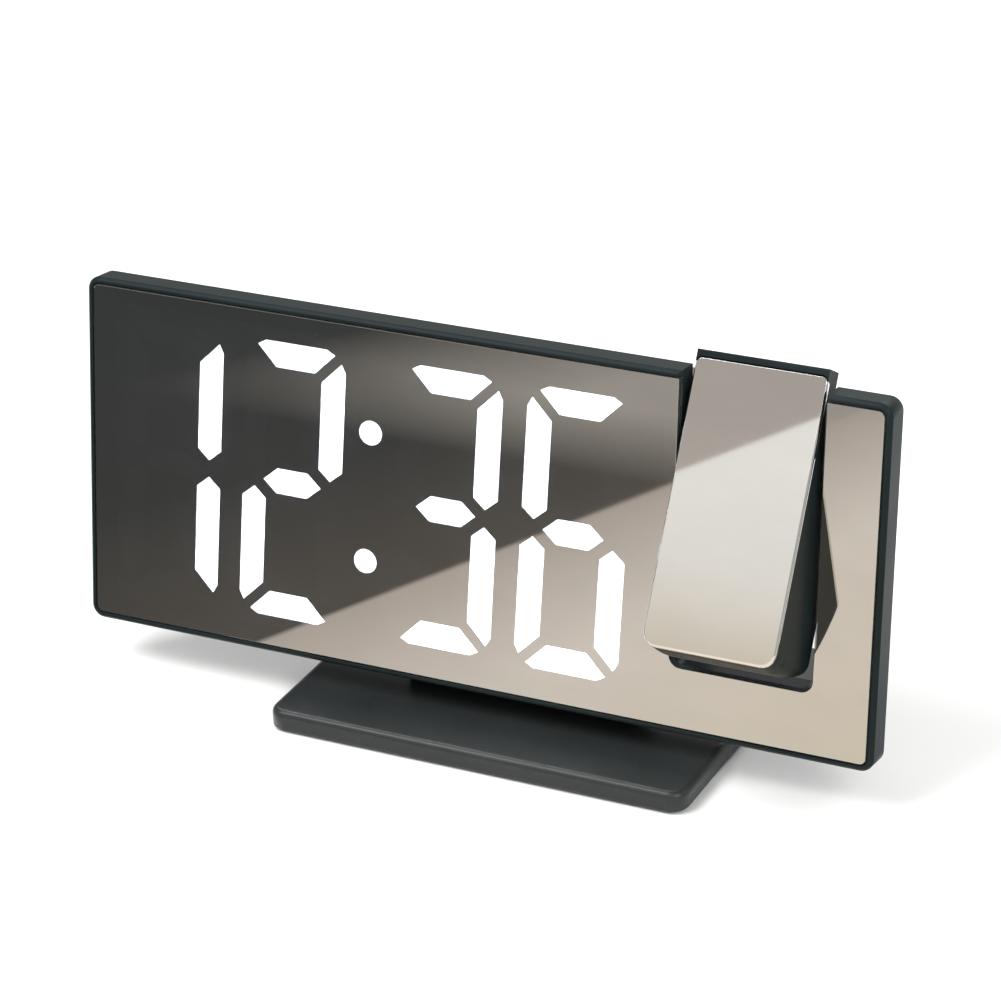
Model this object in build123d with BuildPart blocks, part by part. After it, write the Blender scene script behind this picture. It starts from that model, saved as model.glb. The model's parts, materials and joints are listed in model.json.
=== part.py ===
"""Mirror-faced projection alarm clock on a stand, as separate pieces.

World frame: +Z up, the face looks towards -Y, the origin is at the middle of the
stand's rubber pad, on the table.  The projector arm is drawn swung 23 degrees open.
Lengths are millimetres, angles are degrees.
"""
from build123d import *
import os
from math import cos, radians, sin, sqrt, tan

os.makedirs("parts", exist_ok=True)

# ---------------------------------------------------------------- clearances
slip = 0.05          # radial play of a pin or a barrel that turns or slides
fit = 0.1            # play round a piece that is laid in a pocket
free = 0.3           # play round a button, and between pieces that never meet

# ---------------------------------------------------------------- stand
base_width = 100.0
base_depth = 56.0
base_thickness = 4.6
base_corner = 4.0
base_edge = 1.5      # rounding of the top edge
edge_break = 0.4     # small chamfer on edges that the hand meets
fine_break = 0.3     # and on small pieces
pad_thickness = 1.2
pad_proud = 0.6      # how far the pad stands out below the plate
pad_margin = 4.0
neck_width = 56.0
neck_front = 10.5    # distance of the neck's foot behind the face's lower edge
neck_length = 16.5   # of the neck's foot, front to back
neck_round = 3.0
neck_inset = 1.2     # from the back of the rim to the neck's seat
neck_pilot = 7.0     # depth of the screw holes in the neck
hook_spread = 36.0   # between the two hooks that enter the rear shell
hook_width = 12.0
hook_thickness = 3.0
hook_length = 8.0
hook_taper = 3.0
hook_depth = 13.0    # from the face's plane to the front of a hook

# ---------------------------------------------------------------- clock body
face_width = 190.0
face_height = 80.4
face_corner = 3.0
lean = 8.3           # the face leans back by this angle
body_gap = 6.0       # from the top of the base to the face's lower edge
base_reach = 14.0    # how far the base stands out in front of that edge
body_shift = -7.9    # the body's middle, left of the stand's middle
bezel = 1.3          # width of the lip round the mirror
shell_wall = 1.3
floor_thickness = 1.6
rim_depth = 6.7      # depth of the thin rim
face_edge = 0.7      # rounding of the rim's front edge
flange_thickness = 1.8
body_depth = 24.5    # from the face to the back of the hump
hump_width = 183.0
hump_height = 75.0
hump_corner = 7.0
hump_draft = 12.0    # the hump's sides slope in by this angle
hump_wall = 2.0
hump_edge = 2.5
wall_cut = 8.5       # depth of the cuts through the hump's sloping top and bottom
mirror_thickness = 1.5
mirror_recess = 0.1  # the mirror lies this far below the lip
mirror_bevel = 0.3

# ---------------------------------------------------------------- slot and arm
arm_x = 64.45        # middle of the slot, from the body's middle
slot_floor = -24.8   # height of the slot's floor above the face's middle
slot_corner = 2.5
slot_wall = 2.4
pivot_height = 28.66
pivot_depth = 12.0
arm_tilt = 23.0      # swing of the arm away from the face, as drawn
arm_width = 29.4
arm_gap = 1.4        # between the arm and each side of its slot
slot_width = arm_width + 2 * arm_gap
arm_top = 11.55      # from the pivot to the arm's upper end
arm_reach = 52.0     # radius of the lower end about the pivot
arm_front = 12.0     # from the pivot to the mirror side
arm_back = 11.0      # from the pivot to the back
arm_rim = 5.4        # thickness of the arm's upper rim, and of the front shell
arm_wall = 1.6
arm_corner = 3.2
arm_edge = 2.0
tab_spread = 10.4    # of the tabs at the arm's upper end, from its middle
tab_width = 4.0
tab_rise = 1.3
tab_reach = 3.0
arm_post_x = 9.5
arm_post_y = -42.0
arm_post_end = -2.0  # from the pivot to where the two shells' posts meet
lens_end = 8.0       # from the pivot to the face that holds the lens
arm_mirror_thickness = 1.2
arm_mirror_top = 1.4     # width of the band above the arm's mirror
arm_mirror_corner = 1.5
pin_radius = 3.0
pin_bore = 1.6
pin_flange_radius = 4.4
pin_flange = 1.2
pin_tip = 0.8        # length of a pin inside the arm's wall
washer_radius = 6.0

# ---------------------------------------------------------------- projector
axis_depth = 2.2     # the light's axis, behind the pivot
barrel_radius = 6.0
barrel_top = 6.8
barrel_length = 17.8
barrel_bore = 4.9
focus_travel = 1.5   # each way
key_width = 1.4
key_height = 0.5
key_length = 7.0
guide_bottom = -4.8
guide_flange = 1.5
rib_front = -4.0     # front edge of the arm's ribs; forward of the pivot is negative
rib_thickness = 1.2
rib_gap = 11.5       # half of the space between the ribs of the two sides
lens_radius = 5.3
lens_thickness = 3.4
lens_rim = 1.2
lens_seat_depth = 3.0
sag_halfway = 0.75   # share of a lens's bulge at half of its radius
guide_wall = 1.0
wheel_radius = 9.8
wheel_top = -5.0
wheel_length = 5.0
wheel_slot = 7.0     # half of the width of its opening in the arm's back
wheel_notches = 36
wheel_notch = 0.35
carrier_top = -10.2
carrier_length = 15.8
carrier_mouth = 3.0  # depth of the bore that lets the lens barrel in
lamp_level = carrier_top - carrier_length
carrier_width = 21.0
light_channel = 11.0
slide_side = 13.0
slide_thickness = 1.1
slide_drop = 4.6     # from the carrier's top to the liquid-crystal slide
condenser_radius = 6.2
condenser_drop = 7.6
condenser_rim = 1.2
condenser_height = 3.6
lamp_side = 5.0
lamp_height = 1.6
lamp_board_width = 20.0
lamp_board_depth = 14.0

# ---------------------------------------------------------------- display
digit_width = 24.7
digit_height = 64.0
digit_pitch = 30.4
pair_spread = 68.2   # between the middles of the two pairs of digits
stroke = 5.9
segment_gap = 2.4
slant = 0.032        # rightward drift of the digits per unit of height
tip_cut = 1.1
tip_run = 2.0
waist_point = 1.9
waist_shoulder = 4.4
bar_inset = 2.2
bar_taper = 3.4
dot_radius = 2.8
dot_height = 14.8
display_x = -25.0
display_y = -0.3
block_width = 127.0
block_height = 69.0
block_corner = 4.5
block_thickness = 6.5
block_flange = 1.8
diffuser_thickness = 1.2
board_thickness = 1.6
diode_length = 3.2
diode_width = 2.4
diode_height = 1.4
bar_diode_pitch = 5.2
upright_diode_pitch = 9.6

# ---------------------------------------------------------------- back of the clock
board_gap = 2.6      # between the display board and the main board
main_width = 116.0
main_x = -22.0
header_length = 30.5
header_width = 2.5
header_inset = 4.0
chip_length = 12.8
chip_width = 7.5
chip_height = 2.2
chip_y = 2.5
chip_shift = 1.8
chip_spread = 14.0   # from the board's middle to the small chip
crystal_length = 10.5
crystal_width = 4.6
crystal_height = 3.5
capacitor_radius = 3.15
capacitor_height = 7.0
capacitor_pitch = 23.0
capacitor_inset = 28.5   # of the pair's middle, from the board's left edge
capacitor_rise = 5.0     # above the board's lower edge
screw_pull = 28.5    # height of the case screws above and below the middle
boss_radius = 2.1
boss_end = 15.0      # depth at which the two shells' posts meet
well_radius = 2.8
well_seat = 17.0
well_wall = 1.4
screw_tip = 0.8      # from a case screw's point to the bottom of its hole
head_radius = 2.4
head_height = 1.6
shank_radius = 1.15
cross_length = 2.6   # of the recess in a screw's head
cross_width = 0.6
pilot_radius = shank_radius + slip
button_pitch = 13.0
button_count = 5
button_x = -44.0
button_y = 14.5
button_length = 9.0
button_height = 5.0
button_proud = 1.3
button_stroke = 0.5
button_flange = 0.8
button_lip = 0.8     # how far the flange stands out round the button
button_corner = 0.8
switch_side = 6.0
switch_height = 3.5
plunger_radius = 1.7
plunger_height = 0.7
snooze_x = -26.0
snooze_length = 40.0
snooze_front = 12.2
snooze_back = 18.8
snooze_proud = 0.9
snooze_board_drop = 11.5     # from the hump's upper edge down to the top of the long button's board
snooze_board_gap = 0.4   # from the long button's board down to the main board's upper edge
snooze_board_length = 54.0
snooze_board_depth = 10.0
snooze_spread = 48.0     # between the posts that hold that board
peg_radius = 0.9
peg_proud = 0.4
power_x = -71.0
charge_x = -52.0
socket_y = -8.0
power_radius = 4.0
power_bore = 2.8
power_pin_radius = 0.8
socket_floor = 1.5
pin_sink = 0.8       # how far the pin and the tongue lie inside their sockets
charge_width = 13.0
charge_height = 5.6
charge_skin = 0.4
buzzer_x = 26.0
buzzer_y = 4.0
buzzer_radius = 11.0
buzzer_height = 4.0
collar_wall = 1.2
collar_drop = 0.5    # the sounder stands this far above its collar
grille_hole = 0.9
grille_pitch = 3.7   # between the rings of holes
grille_ring = 6      # holes in the first ring
cell_x = -12.0
cell_y = -8.0
cell_radius = 10.0
cell_height = 3.2
cell_pocket = 4.4
cell_play = 0.6      # between the cell and its pocket, where the side contact is
door_width = 37.0
door_height = 26.0
door_thickness = 1.7
door_shift = 4.5     # of the door's middle from the cell's middle
door_screw_inset = 4.0
door_post = 5.0      # length of the post that takes its screw
door_web = 0.7       # thickness of the door below its screw's head
contact_width = 4.0
contact_length = 16.0
contact_thickness = 0.3
tab_thickness = 0.2      # of the contact at the cell's side
tongue_width = 11.0
tongue_height = 1.6

# ---------------------------------------------------------------- planes
base_top = pad_proud + base_thickness
edge_y = base_reach - base_depth / 2
edge_z = base_top + body_gap
half_face = face_height / 2
face = Plane(
    origin=(
        body_shift,
        edge_y + half_face * sin(radians(lean)),
        edge_z + half_face * cos(radians(lean)),
    ),
    x_dir=(1, 0, 0),
    z_dir=(0, -cos(radians(lean)), sin(radians(lean))),
)
swing = lean + arm_tilt
arm = Plane(
    origin=face.from_local_coords((arm_x, pivot_height, -pivot_depth)),
    x_dir=(1, 0, 0),
    z_dir=(0, -cos(radians(swing)), sin(radians(swing))),
)


def behind(depth):
    """plane parallel to the clock's face, this far behind it"""
    return face.offset(-depth)


def beside(x):
    """plane across the body; local x runs up the face, local y runs forwards"""
    return Plane(face.from_local_coords((x, 0, 0)), x_dir=face.y_dir, z_dir=face.x_dir)


def level(height):
    """plane square to the face at this height; local y is the depth behind it"""
    return Plane(face.from_local_coords((0, height, 0)), x_dir=face.x_dir, z_dir=face.y_dir)


def arm_beside(x):
    """plane across the arm; local x runs up the arm, local y towards its mirror"""
    return Plane(arm.from_local_coords((x, 0, 0)), x_dir=arm.y_dir, z_dir=arm.x_dir)


def arm_level(height):
    """plane square to the arm at this distance above the pivot; local y runs backwards"""
    return Plane(arm.from_local_coords((0, height, 0)), x_dir=arm.x_dir, z_dir=arm.y_dir)


def finish(piece, name):
    """label a piece and write it"""
    piece.part.label = name
    export_step(piece.part, f"parts/{name}.step")


# ---------------------------------------------------------------- shared outlines
def slot_outline(grow=0.0, mode=Mode.SUBTRACT):
    """the arm's slot, open at the top, grown on its three sides"""
    height = face_height
    with Locations((arm_x, slot_floor - grow + height / 2)):
        RectangleRounded(slot_width + 2 * grow, height, slot_corner + grow, mode=mode)


def hump_outline(depth, inset=0.0):
    """the hump's outline at this depth"""
    shrink = (depth - rim_depth) * tan(radians(hump_draft)) + inset
    RectangleRounded(hump_width - 2 * shrink, hump_height - 2 * shrink, hump_corner - inset)


def hump_side(depth):
    """half of the hump's height at this depth"""
    return hump_height / 2 - (depth - rim_depth) * tan(radians(hump_draft))


def screws(plane, spots, length, point):
    """pan-head screws whose points go along the plane's normal (+1) or against it (-1)"""
    with BuildSketch(plane) as heads:
        with Locations(*spots):
            Circle(head_radius)
    extrude(heads.sketch, amount=-point * head_height)
    with BuildSketch(plane) as shanks:
        with Locations(*spots):
            Circle(shank_radius)
    extrude(shanks.sketch, amount=point * length)
    with BuildSketch(plane.offset(-point * head_height)) as crosses:
        with Locations(*spots):
            Rectangle(cross_length, cross_width)
            Rectangle(cross_width, cross_length)
    extrude(crosses.sketch, amount=point * head_height / 2, mode=Mode.SUBTRACT)


# ---------------------------------------------------------------- seven segments
def segment(name):
    """outline of one segment about its digit's middle"""
    half_width = digit_width / 2
    half_height = digit_height / 2
    mitre = segment_gap / sqrt(2)
    if name == "g":
        end = half_width - stroke / 2 - bar_inset
        half = [(end, 0), (end - bar_taper, stroke / 2)]
        points = half + [(-x, y) for x, y in reversed(half)]
        points += [(-x, -y) for x, y in half[1:]] + [(half[1][0], -half[1][1])]
    elif name in "ad":
        end = half_width - mitre - tip_cut
        half = [
            (half_width - mitre - stroke, half_height - stroke),
            (end, half_height - tip_cut),
            (end - tip_run, half_height),
        ]
        points = half + [(-x, y) for x, y in reversed(half)]
    else:
        end = half_height - mitre - tip_cut
        points = [
            (half_width - stroke, half_height - stroke - mitre),
            (half_width - tip_cut, end),
            (half_width, end - tip_run),
            (half_width, waist_shoulder),
            (half_width - stroke / 2, waist_point),
            (half_width - stroke, waist_shoulder),
        ]
    side = -1 if name in "ef" else 1
    rise = -1 if name in "cde" else 1
    return [(side * x + slant * rise * y, rise * y) for x, y in points]


digit_places = [
    display_x + pair * pair_spread / 2 + half * digit_pitch / 2
    for pair in (-1, 1)
    for half in (-1, 1)
]
lit_segments_of = ["bc", "abged", "abgcd", "acdefg"]


def draw_segments(lit):
    """draw the lit segments of 12:36, or the others"""
    for x, shown in zip(digit_places, lit_segments_of):
        for name in "abcdefg":
            if (name in shown) == lit:
                with Locations((x, display_y)):
                    Polygon(*segment(name), align=None)
    if lit:
        for rise in (-1, 1):
            with Locations((display_x + slant * rise * dot_height, display_y + rise * dot_height)):
                Circle(dot_radius)


boss_spots = [
    (display_x + side * pair_spread / 2 + slant * rise * screw_pull, rise * screw_pull)
    for side in (-1, 1)
    for rise in (-1, 1)
]
foot_spot = (arm_x - slot_width / 2 - slot_wall - 1, -screw_pull)
case_spots = boss_spots + [foot_spot]

# ---------------------------------------------------------------- stand pieces
with BuildPart() as base_plate:
    with BuildSketch(Plane.XY.offset(pad_proud)):
        RectangleRounded(base_width, base_depth, base_corner)
    extrude(amount=base_thickness)
    fillet(base_plate.edges().group_by(Axis.Z)[-1], base_edge)
    chamfer(base_plate.edges().group_by(Axis.Z)[0], edge_break)
    with BuildSketch(Plane.XY.offset(pad_proud)):
        RectangleRounded(base_width - 2 * pad_margin, base_depth - 2 * pad_margin, base_corner)
    extrude(amount=pad_thickness - pad_proud, mode=Mode.SUBTRACT)
    neck_middle = edge_y + neck_front + neck_length / 2
    with BuildSketch(Plane.XY.offset(pad_thickness)):
        with Locations((-hook_spread / 2, neck_middle), (hook_spread / 2, neck_middle)):
            Circle(well_radius)
    extrude(amount=head_height + fit, mode=Mode.SUBTRACT)
    with BuildSketch(Plane.XY.offset(pad_thickness)):
        with Locations((-hook_spread / 2, neck_middle), (hook_spread / 2, neck_middle)):
            Circle(shank_radius + fit)
    extrude(amount=base_thickness, mode=Mode.SUBTRACT)
finish(base_plate, "base_plate")

with BuildPart() as base_pad:
    with BuildSketch():
        RectangleRounded(
            base_width - 2 * pad_margin - 2 * fit,
            base_depth - 2 * pad_margin - 2 * fit,
            base_corner - fit,
        )
    extrude(amount=pad_thickness)
finish(base_pad, "base_pad")

neck_x = -body_shift


def base_point(forward):
    """a point on the base's top, in the coordinates of a plane beside the body"""
    return (
        -half_face - forward * sin(radians(lean)) - body_gap * cos(radians(lean)),
        forward * cos(radians(lean)) - body_gap * sin(radians(lean)),
    )


neck_lip = rim_depth + neck_inset
neck_heel = body_depth - hump_edge
with BuildPart() as stand_neck:
    with BuildSketch(beside(neck_x - neck_width / 2)):
        Polygon(
            (-hump_side(neck_lip) - slip, -neck_lip),
            (-hump_side(neck_heel) - slip, -neck_heel),
            base_point(-neck_front - neck_length),
            base_point(-neck_front),
            align=None,
        )
    extrude(amount=neck_width)
    fillet(stand_neck.edges().filter_by(Axis.Z, tolerance=35), neck_round)
    for side in (-1, 1):
        hook_left = neck_x + side * hook_spread / 2 - hook_width / 2
        with BuildSketch(beside(hook_left)):
            Polygon(
                (-hump_side(neck_heel) - 2, -hook_depth),
                (-hump_side(hook_depth) + hook_length, -hook_depth),
                (-hump_side(hook_depth) + hook_length, -hook_depth - hook_thickness / 2),
                (-hump_side(hook_depth) + hook_length - hook_taper, -hook_depth - hook_thickness),
                (-hump_side(neck_heel) - 2, -hook_depth - hook_thickness),
                align=None,
            )
        extrude(amount=hook_width)
    with BuildSketch(Plane.XY.offset(base_top)):
        with Locations((-hook_spread / 2, neck_middle), (hook_spread / 2, neck_middle)):
            Circle(pilot_radius)
    extrude(amount=neck_pilot, mode=Mode.SUBTRACT)
finish(stand_neck, "stand_neck")

with BuildPart() as stand_screws:
    screws(
        Plane.XY.offset(pad_thickness + head_height + fit),
        [(-hook_spread / 2, neck_middle), (hook_spread / 2, neck_middle)],
        base_thickness,
        1,
    )
finish(stand_screws, "stand_screws")

# ---------------------------------------------------------------- front of the clock
mirror_seat = mirror_recess + mirror_thickness
floor_back = mirror_seat + floor_thickness
block_front = mirror_seat + fit
block_back = block_front + block_thickness

with BuildPart() as front_shell:
    with BuildSketch(face):
        RectangleRounded(face_width, face_height, face_corner)
        slot_outline()
    extrude(amount=-rim_depth)
    shell_front = front_shell.faces().sort_by(Axis(face.origin, face.z_dir))[-1]
    chamfer(shell_front.outer_wire().edges(), face_edge)
    with BuildSketch(face):
        RectangleRounded(face_width - 2 * bezel, face_height - 2 * bezel, face_corner - bezel + fit)
        slot_outline(-fit)
    extrude(amount=-mirror_seat, mode=Mode.SUBTRACT)
    with BuildSketch(behind(floor_back)):
        RectangleRounded(
            face_width - 2 * shell_wall, face_height - 2 * shell_wall, face_corner - shell_wall
        )
        slot_outline(shell_wall)
    extrude(amount=floor_back - rim_depth, mode=Mode.SUBTRACT)
    with BuildSketch(behind(mirror_seat)):
        with Locations((display_x, 0)):
            RectangleRounded(block_width + 2 * fit, block_height + 2 * fit, block_corner + fit)
    extrude(amount=-floor_thickness, mode=Mode.SUBTRACT)
    with BuildSketch(behind(floor_back)):
        with Locations(foot_spot):
            Circle(boss_radius)
            Circle(pilot_radius, mode=Mode.SUBTRACT)
    extrude(amount=floor_back - boss_end)
finish(front_shell, "front_shell")

with BuildPart() as mirror_panel:
    with BuildSketch(behind(mirror_recess)):
        RectangleRounded(
            face_width - 2 * bezel - 2 * fit, face_height - 2 * bezel - 2 * fit, face_corner - bezel
        )
        slot_outline()
    extrude(amount=-mirror_thickness)
    mirror_front = mirror_panel.faces().sort_by(Axis(face.origin, face.z_dir))[-1]
    chamfer(mirror_front.outer_wire().edges(), mirror_bevel)
finish(mirror_panel, "mirror_panel")

with BuildPart() as segment_block:
    with BuildSketch(behind(block_front)):
        with Locations((display_x, 0)):
            RectangleRounded(block_width, block_height, block_corner)
    extrude(amount=-block_thickness)
    with BuildSketch(behind(floor_back)):
        with Locations((display_x, 0)):
            Rectangle(block_width + 2 * block_flange, block_height + 2 * block_flange)
    extrude(amount=-floor_thickness)
    with BuildSketch(behind(block_front)):
        draw_segments(True)
        draw_segments(False)
    extrude(amount=-block_thickness, mode=Mode.SUBTRACT)
    with BuildSketch(behind(block_back)):
        with Locations(*boss_spots):
            Circle(boss_radius)
            Circle(pilot_radius, mode=Mode.SUBTRACT)
    extrude(amount=block_back - boss_end)
finish(segment_block, "segment_block")

for lit in (True, False):
    with BuildPart() as diffusers:
        with BuildSketch(behind(block_front)):
            draw_segments(lit)
            offset(amount=-slip, kind=Kind.INTERSECTION)
        extrude(amount=-diffuser_thickness)
    finish(diffusers, "lit_segments" if lit else "dark_segments")

with BuildPart() as display_board:
    with BuildSketch(behind(block_back)):
        with Locations((display_x, 0)):
            RectangleRounded(block_width, block_height, block_corner)
        with Locations(*boss_spots):
            Circle(boss_radius + fit, mode=Mode.SUBTRACT)
    extrude(amount=-board_thickness)
finish(display_board, "display_board")

# two diodes behind each bar and each upright, one behind each dot
with BuildPart() as display_diodes:
    with BuildSketch(behind(block_back)):
        for x in digit_places:
            for bar in (-1, 0, 1):
                height = bar * (digit_height - stroke) / 2
                with Locations((x + slant * height, display_y + height)):
                    with GridLocations(bar_diode_pitch, 0, 2, 1):
                        Rectangle(diode_length, diode_width)
            for side in (-1, 1):
                for rise in (-1, 1):
                    height = rise * digit_height / 4
                    upright = side * (digit_width - stroke) / 2 + slant * height
                    with Locations((x + upright, display_y + height)):
                        with GridLocations(0, upright_diode_pitch, 1, 2):
                            Rectangle(diode_width, diode_length)
        for rise in (-1, 1):
            with Locations((display_x + slant * rise * dot_height, display_y + rise * dot_height)):
                Rectangle(diode_width, diode_length)
    extrude(amount=diode_height)
finish(display_diodes, "display_diodes")

# ---------------------------------------------------------------- boards behind the display
board_front = block_back + board_thickness + board_gap
board_back = board_front + board_thickness
button_stem = board_back + switch_height + plunger_height + button_stroke + fit
snooze_board_top = hump_height / 2 - snooze_board_drop
main_height = 2 * (snooze_board_top - board_thickness - snooze_board_gap)
button_spots = [
    (button_x + (i - (button_count - 1) / 2) * button_pitch, button_y) for i in range(button_count)
]

with BuildPart() as main_board:
    with BuildSketch(behind(board_front)):
        with Locations((main_x, 0)):
            Rectangle(main_width, main_height)
    extrude(amount=-board_thickness)
finish(main_board, "main_board")

with BuildPart() as board_headers:
    with BuildSketch(behind(board_front)):
        with Locations((main_x, 0)):
            with GridLocations(0, main_height - 2 * header_inset, 1, 2):
                Rectangle(header_length, header_width)
    extrude(amount=board_gap)
finish(board_headers, "board_headers")

with BuildPart() as board_chips:
    with BuildSketch(behind(board_back)):
        with Locations((main_x - chip_shift, chip_y)):
            Rectangle(chip_length, chip_width)
        with Locations((main_x + chip_spread, chip_y)):
            Rectangle(chip_length / 2, chip_width / 2)
    extrude(amount=-chip_height)
    with BuildSketch(behind(board_back)):
        with Locations((main_x + chip_spread + crystal_length, chip_y)):
            SlotOverall(crystal_length, crystal_width, rotation=90)
    extrude(amount=-crystal_height)
finish(board_chips, "board_chips")

with BuildPart() as board_capacitors:
    with BuildSketch(behind(board_back)):
        with Locations((main_x - main_width / 2 + capacitor_inset, capacitor_rise - main_height / 2)):
            with GridLocations(capacitor_pitch, 0, 2, 1):
                Circle(capacitor_radius)
    extrude(amount=-capacitor_height)
    fillet(board_capacitors.edges().group_by(Axis(face.origin, face.z_dir))[0], edge_break)
finish(board_capacitors, "board_capacitors")

with BuildPart() as tact_switches:
    with BuildSketch(behind(board_back)):
        with Locations(*button_spots):
            Rectangle(switch_side, switch_side)
    extrude(amount=-switch_height)
    with BuildSketch(behind(board_back + switch_height)):
        with Locations(*button_spots):
            Circle(plunger_radius)
    extrude(amount=-plunger_height)
finish(tact_switches, "tact_switches")

# ---------------------------------------------------------------- rear shell
wall_inside = body_depth - hump_wall
flange_front = rim_depth - flange_thickness
cell_seat = body_depth - door_thickness - fit
door_spot = (cell_x + door_shift, cell_y)
door_screw_spot = (cell_x + door_shift + door_width / 2 - door_screw_inset, cell_y)
snooze_middle = (snooze_front + snooze_back) / 2
snooze_stem = snooze_board_top + switch_height + plunger_height + button_stroke + fit
snooze_posts = [(snooze_x + side * snooze_spread / 2, snooze_middle) for side in (-1, 1)]

with BuildPart() as hump_hollow:
    with BuildSketch(behind(flange_front)):
        hump_outline(flange_front, hump_wall)
    with BuildSketch(behind(wall_inside)):
        hump_outline(wall_inside, hump_wall)
    loft()
    with BuildSketch(face):
        slot_outline(slot_wall, Mode.ADD)
    extrude(amount=-body_depth, mode=Mode.SUBTRACT)

with BuildPart() as rear_shell:
    with BuildSketch(behind(rim_depth)):
        RectangleRounded(
            face_width - 2 * shell_wall - 2 * fit,
            face_height - 2 * shell_wall - 2 * fit,
            face_corner - shell_wall - fit,
        )
        slot_outline(shell_wall + fit)
    extrude(amount=flange_thickness)
    with BuildSketch(behind(rim_depth)):
        hump_outline(rim_depth)
    with BuildSketch(behind(body_depth)):
        hump_outline(body_depth)
    loft()
    fillet(rear_shell.edges().group_by(Axis(face.origin, face.z_dir))[0], hump_edge)
    add(hump_hollow.part, mode=Mode.SUBTRACT)
    # posts for the case screws, their wells and holes
    with BuildSketch(behind(boss_end)):
        with Locations(*case_spots):
            Circle(well_radius + well_wall)
    extrude(amount=boss_end - wall_inside - slip)
    with BuildSketch(behind(well_seat)):
        with Locations(*case_spots):
            Circle(well_radius)
    extrude(amount=well_seat - body_depth, mode=Mode.SUBTRACT)
    with BuildSketch(behind(boss_end)):
        with Locations(*case_spots):
            Circle(pilot_radius)
    extrude(amount=boss_end - body_depth, mode=Mode.SUBTRACT)
    # the coin cell's pocket and the seat of its door
    with BuildSketch(behind(cell_seat)):
        with Locations((cell_x, cell_y)):
            Circle(cell_radius + hump_wall)
    extrude(amount=cell_pocket + 1)
    with BuildSketch(behind(wall_inside)):
        with Locations(door_spot):
            RectangleRounded(door_width + 2 * hump_wall, door_height + 2 * hump_wall, hump_wall + 1)
    extrude(amount=hump_wall)
    with BuildSketch(behind(body_depth)):
        with Locations(door_spot):
            RectangleRounded(door_width + 2 * fit, door_height + 2 * fit, 2)
    extrude(amount=body_depth - cell_seat, mode=Mode.SUBTRACT)
    with BuildSketch(behind(cell_seat)):
        with Locations((cell_x, cell_y)):
            Circle(cell_radius + cell_play)
    extrude(amount=cell_pocket, mode=Mode.SUBTRACT)
    with BuildSketch(behind(cell_seat)):
        with Locations(door_screw_spot):
            Circle(boss_radius + 1)
    extrude(amount=door_post)
    with BuildSketch(behind(cell_seat)):
        with Locations(door_screw_spot):
            Circle(pilot_radius)
    extrude(amount=door_post, mode=Mode.SUBTRACT)
    # holes for the buttons, the two sockets and the sound
    with BuildSketch(behind(body_depth)):
        with Locations(*button_spots):
            RectangleRounded(button_length + 2 * free, button_height + 2 * free, 1)
        with Locations((power_x, socket_y)):
            Circle(power_radius + fit)
        with Locations((charge_x, socket_y)):
            Rectangle(charge_width + 2 * fit, charge_height + 2 * fit)
        with Locations((buzzer_x, buzzer_y)):
            Circle(grille_hole)
            for ring in (1, 2):
                with PolarLocations(ring * grille_pitch, ring * grille_ring):
                    Circle(grille_hole)
    extrude(amount=hump_wall, mode=Mode.SUBTRACT)
    with BuildSketch(behind(wall_inside)):
        with Locations((buzzer_x, buzzer_y)):
            Circle(buzzer_radius + fit + collar_wall)
            Circle(buzzer_radius + fit, mode=Mode.SUBTRACT)
    extrude(amount=buzzer_height - collar_drop)
    # the long button's hole, in the hump's sloping top
    with BuildSketch(level(hump_height / 2)):
        with Locations((snooze_x, snooze_middle)):
            Rectangle(snooze_length + 2 * free, snooze_back - snooze_front + 2 * free)
    extrude(amount=-wall_cut, mode=Mode.SUBTRACT)
    # posts and pegs that hold the long button's board
    with BuildSketch(level(snooze_board_top)):
        with Locations(*snooze_posts):
            Circle(boss_radius)
    extrude(amount=hump_side(snooze_back) - hump_wall / 2 - snooze_board_top)
    with BuildSketch(level(snooze_board_top)):
        with Locations(*snooze_posts):
            Circle(peg_radius)
    extrude(amount=-board_thickness - peg_proud)
    # holes for the stand's hooks
    with BuildSketch(level(-hump_height / 2)):
        for side in (-1, 1):
            with Locations((neck_x + side * hook_spread / 2, hook_depth + hook_thickness / 2)):
                Rectangle(hook_width + 2 * fit, hook_thickness + 2 * fit)
    extrude(amount=wall_cut, mode=Mode.SUBTRACT)
    # the arm's slot, and the bores for its pins
    with BuildSketch(face):
        slot_outline(mode=Mode.ADD)
    extrude(amount=-body_depth, mode=Mode.SUBTRACT)
    with BuildSketch(beside(arm_x - slot_width / 2 - slot_wall)):
        with Locations((pivot_height, -pivot_depth)):
            Circle(pin_radius + slip)
    extrude(amount=slot_width + 2 * slot_wall, mode=Mode.SUBTRACT)
finish(rear_shell, "rear_shell")

with BuildPart() as case_screws:
    screws(behind(well_seat), case_spots, well_seat - block_back - screw_tip, 1)
finish(case_screws, "case_screws")

# ---------------------------------------------------------------- sockets, sounder, cell
with BuildPart() as power_socket:
    with BuildSketch(behind(board_back)):
        with Locations((power_x, socket_y)):
            Rectangle(2 * power_radius + 1, 2 * power_radius + 1)
    extrude(amount=board_back - wall_inside + free)
    with BuildSketch(behind(wall_inside - free)):
        with Locations((power_x, socket_y)):
            Circle(power_radius)
    extrude(amount=free - hump_wall)
    with BuildSketch(behind(body_depth)):
        with Locations((power_x, socket_y)):
            Circle(power_bore)
    extrude(amount=body_depth - board_back - socket_floor, mode=Mode.SUBTRACT)
finish(power_socket, "power_socket")

with BuildPart() as power_pin:
    with BuildSketch(behind(board_back + socket_floor)):
        with Locations((power_x, socket_y)):
            Circle(power_pin_radius)
    extrude(amount=board_back + socket_floor + pin_sink - body_depth)
    fillet(power_pin.edges().group_by(Axis(face.origin, face.z_dir))[0], power_pin_radius / 2)
finish(power_pin, "power_pin")

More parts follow.
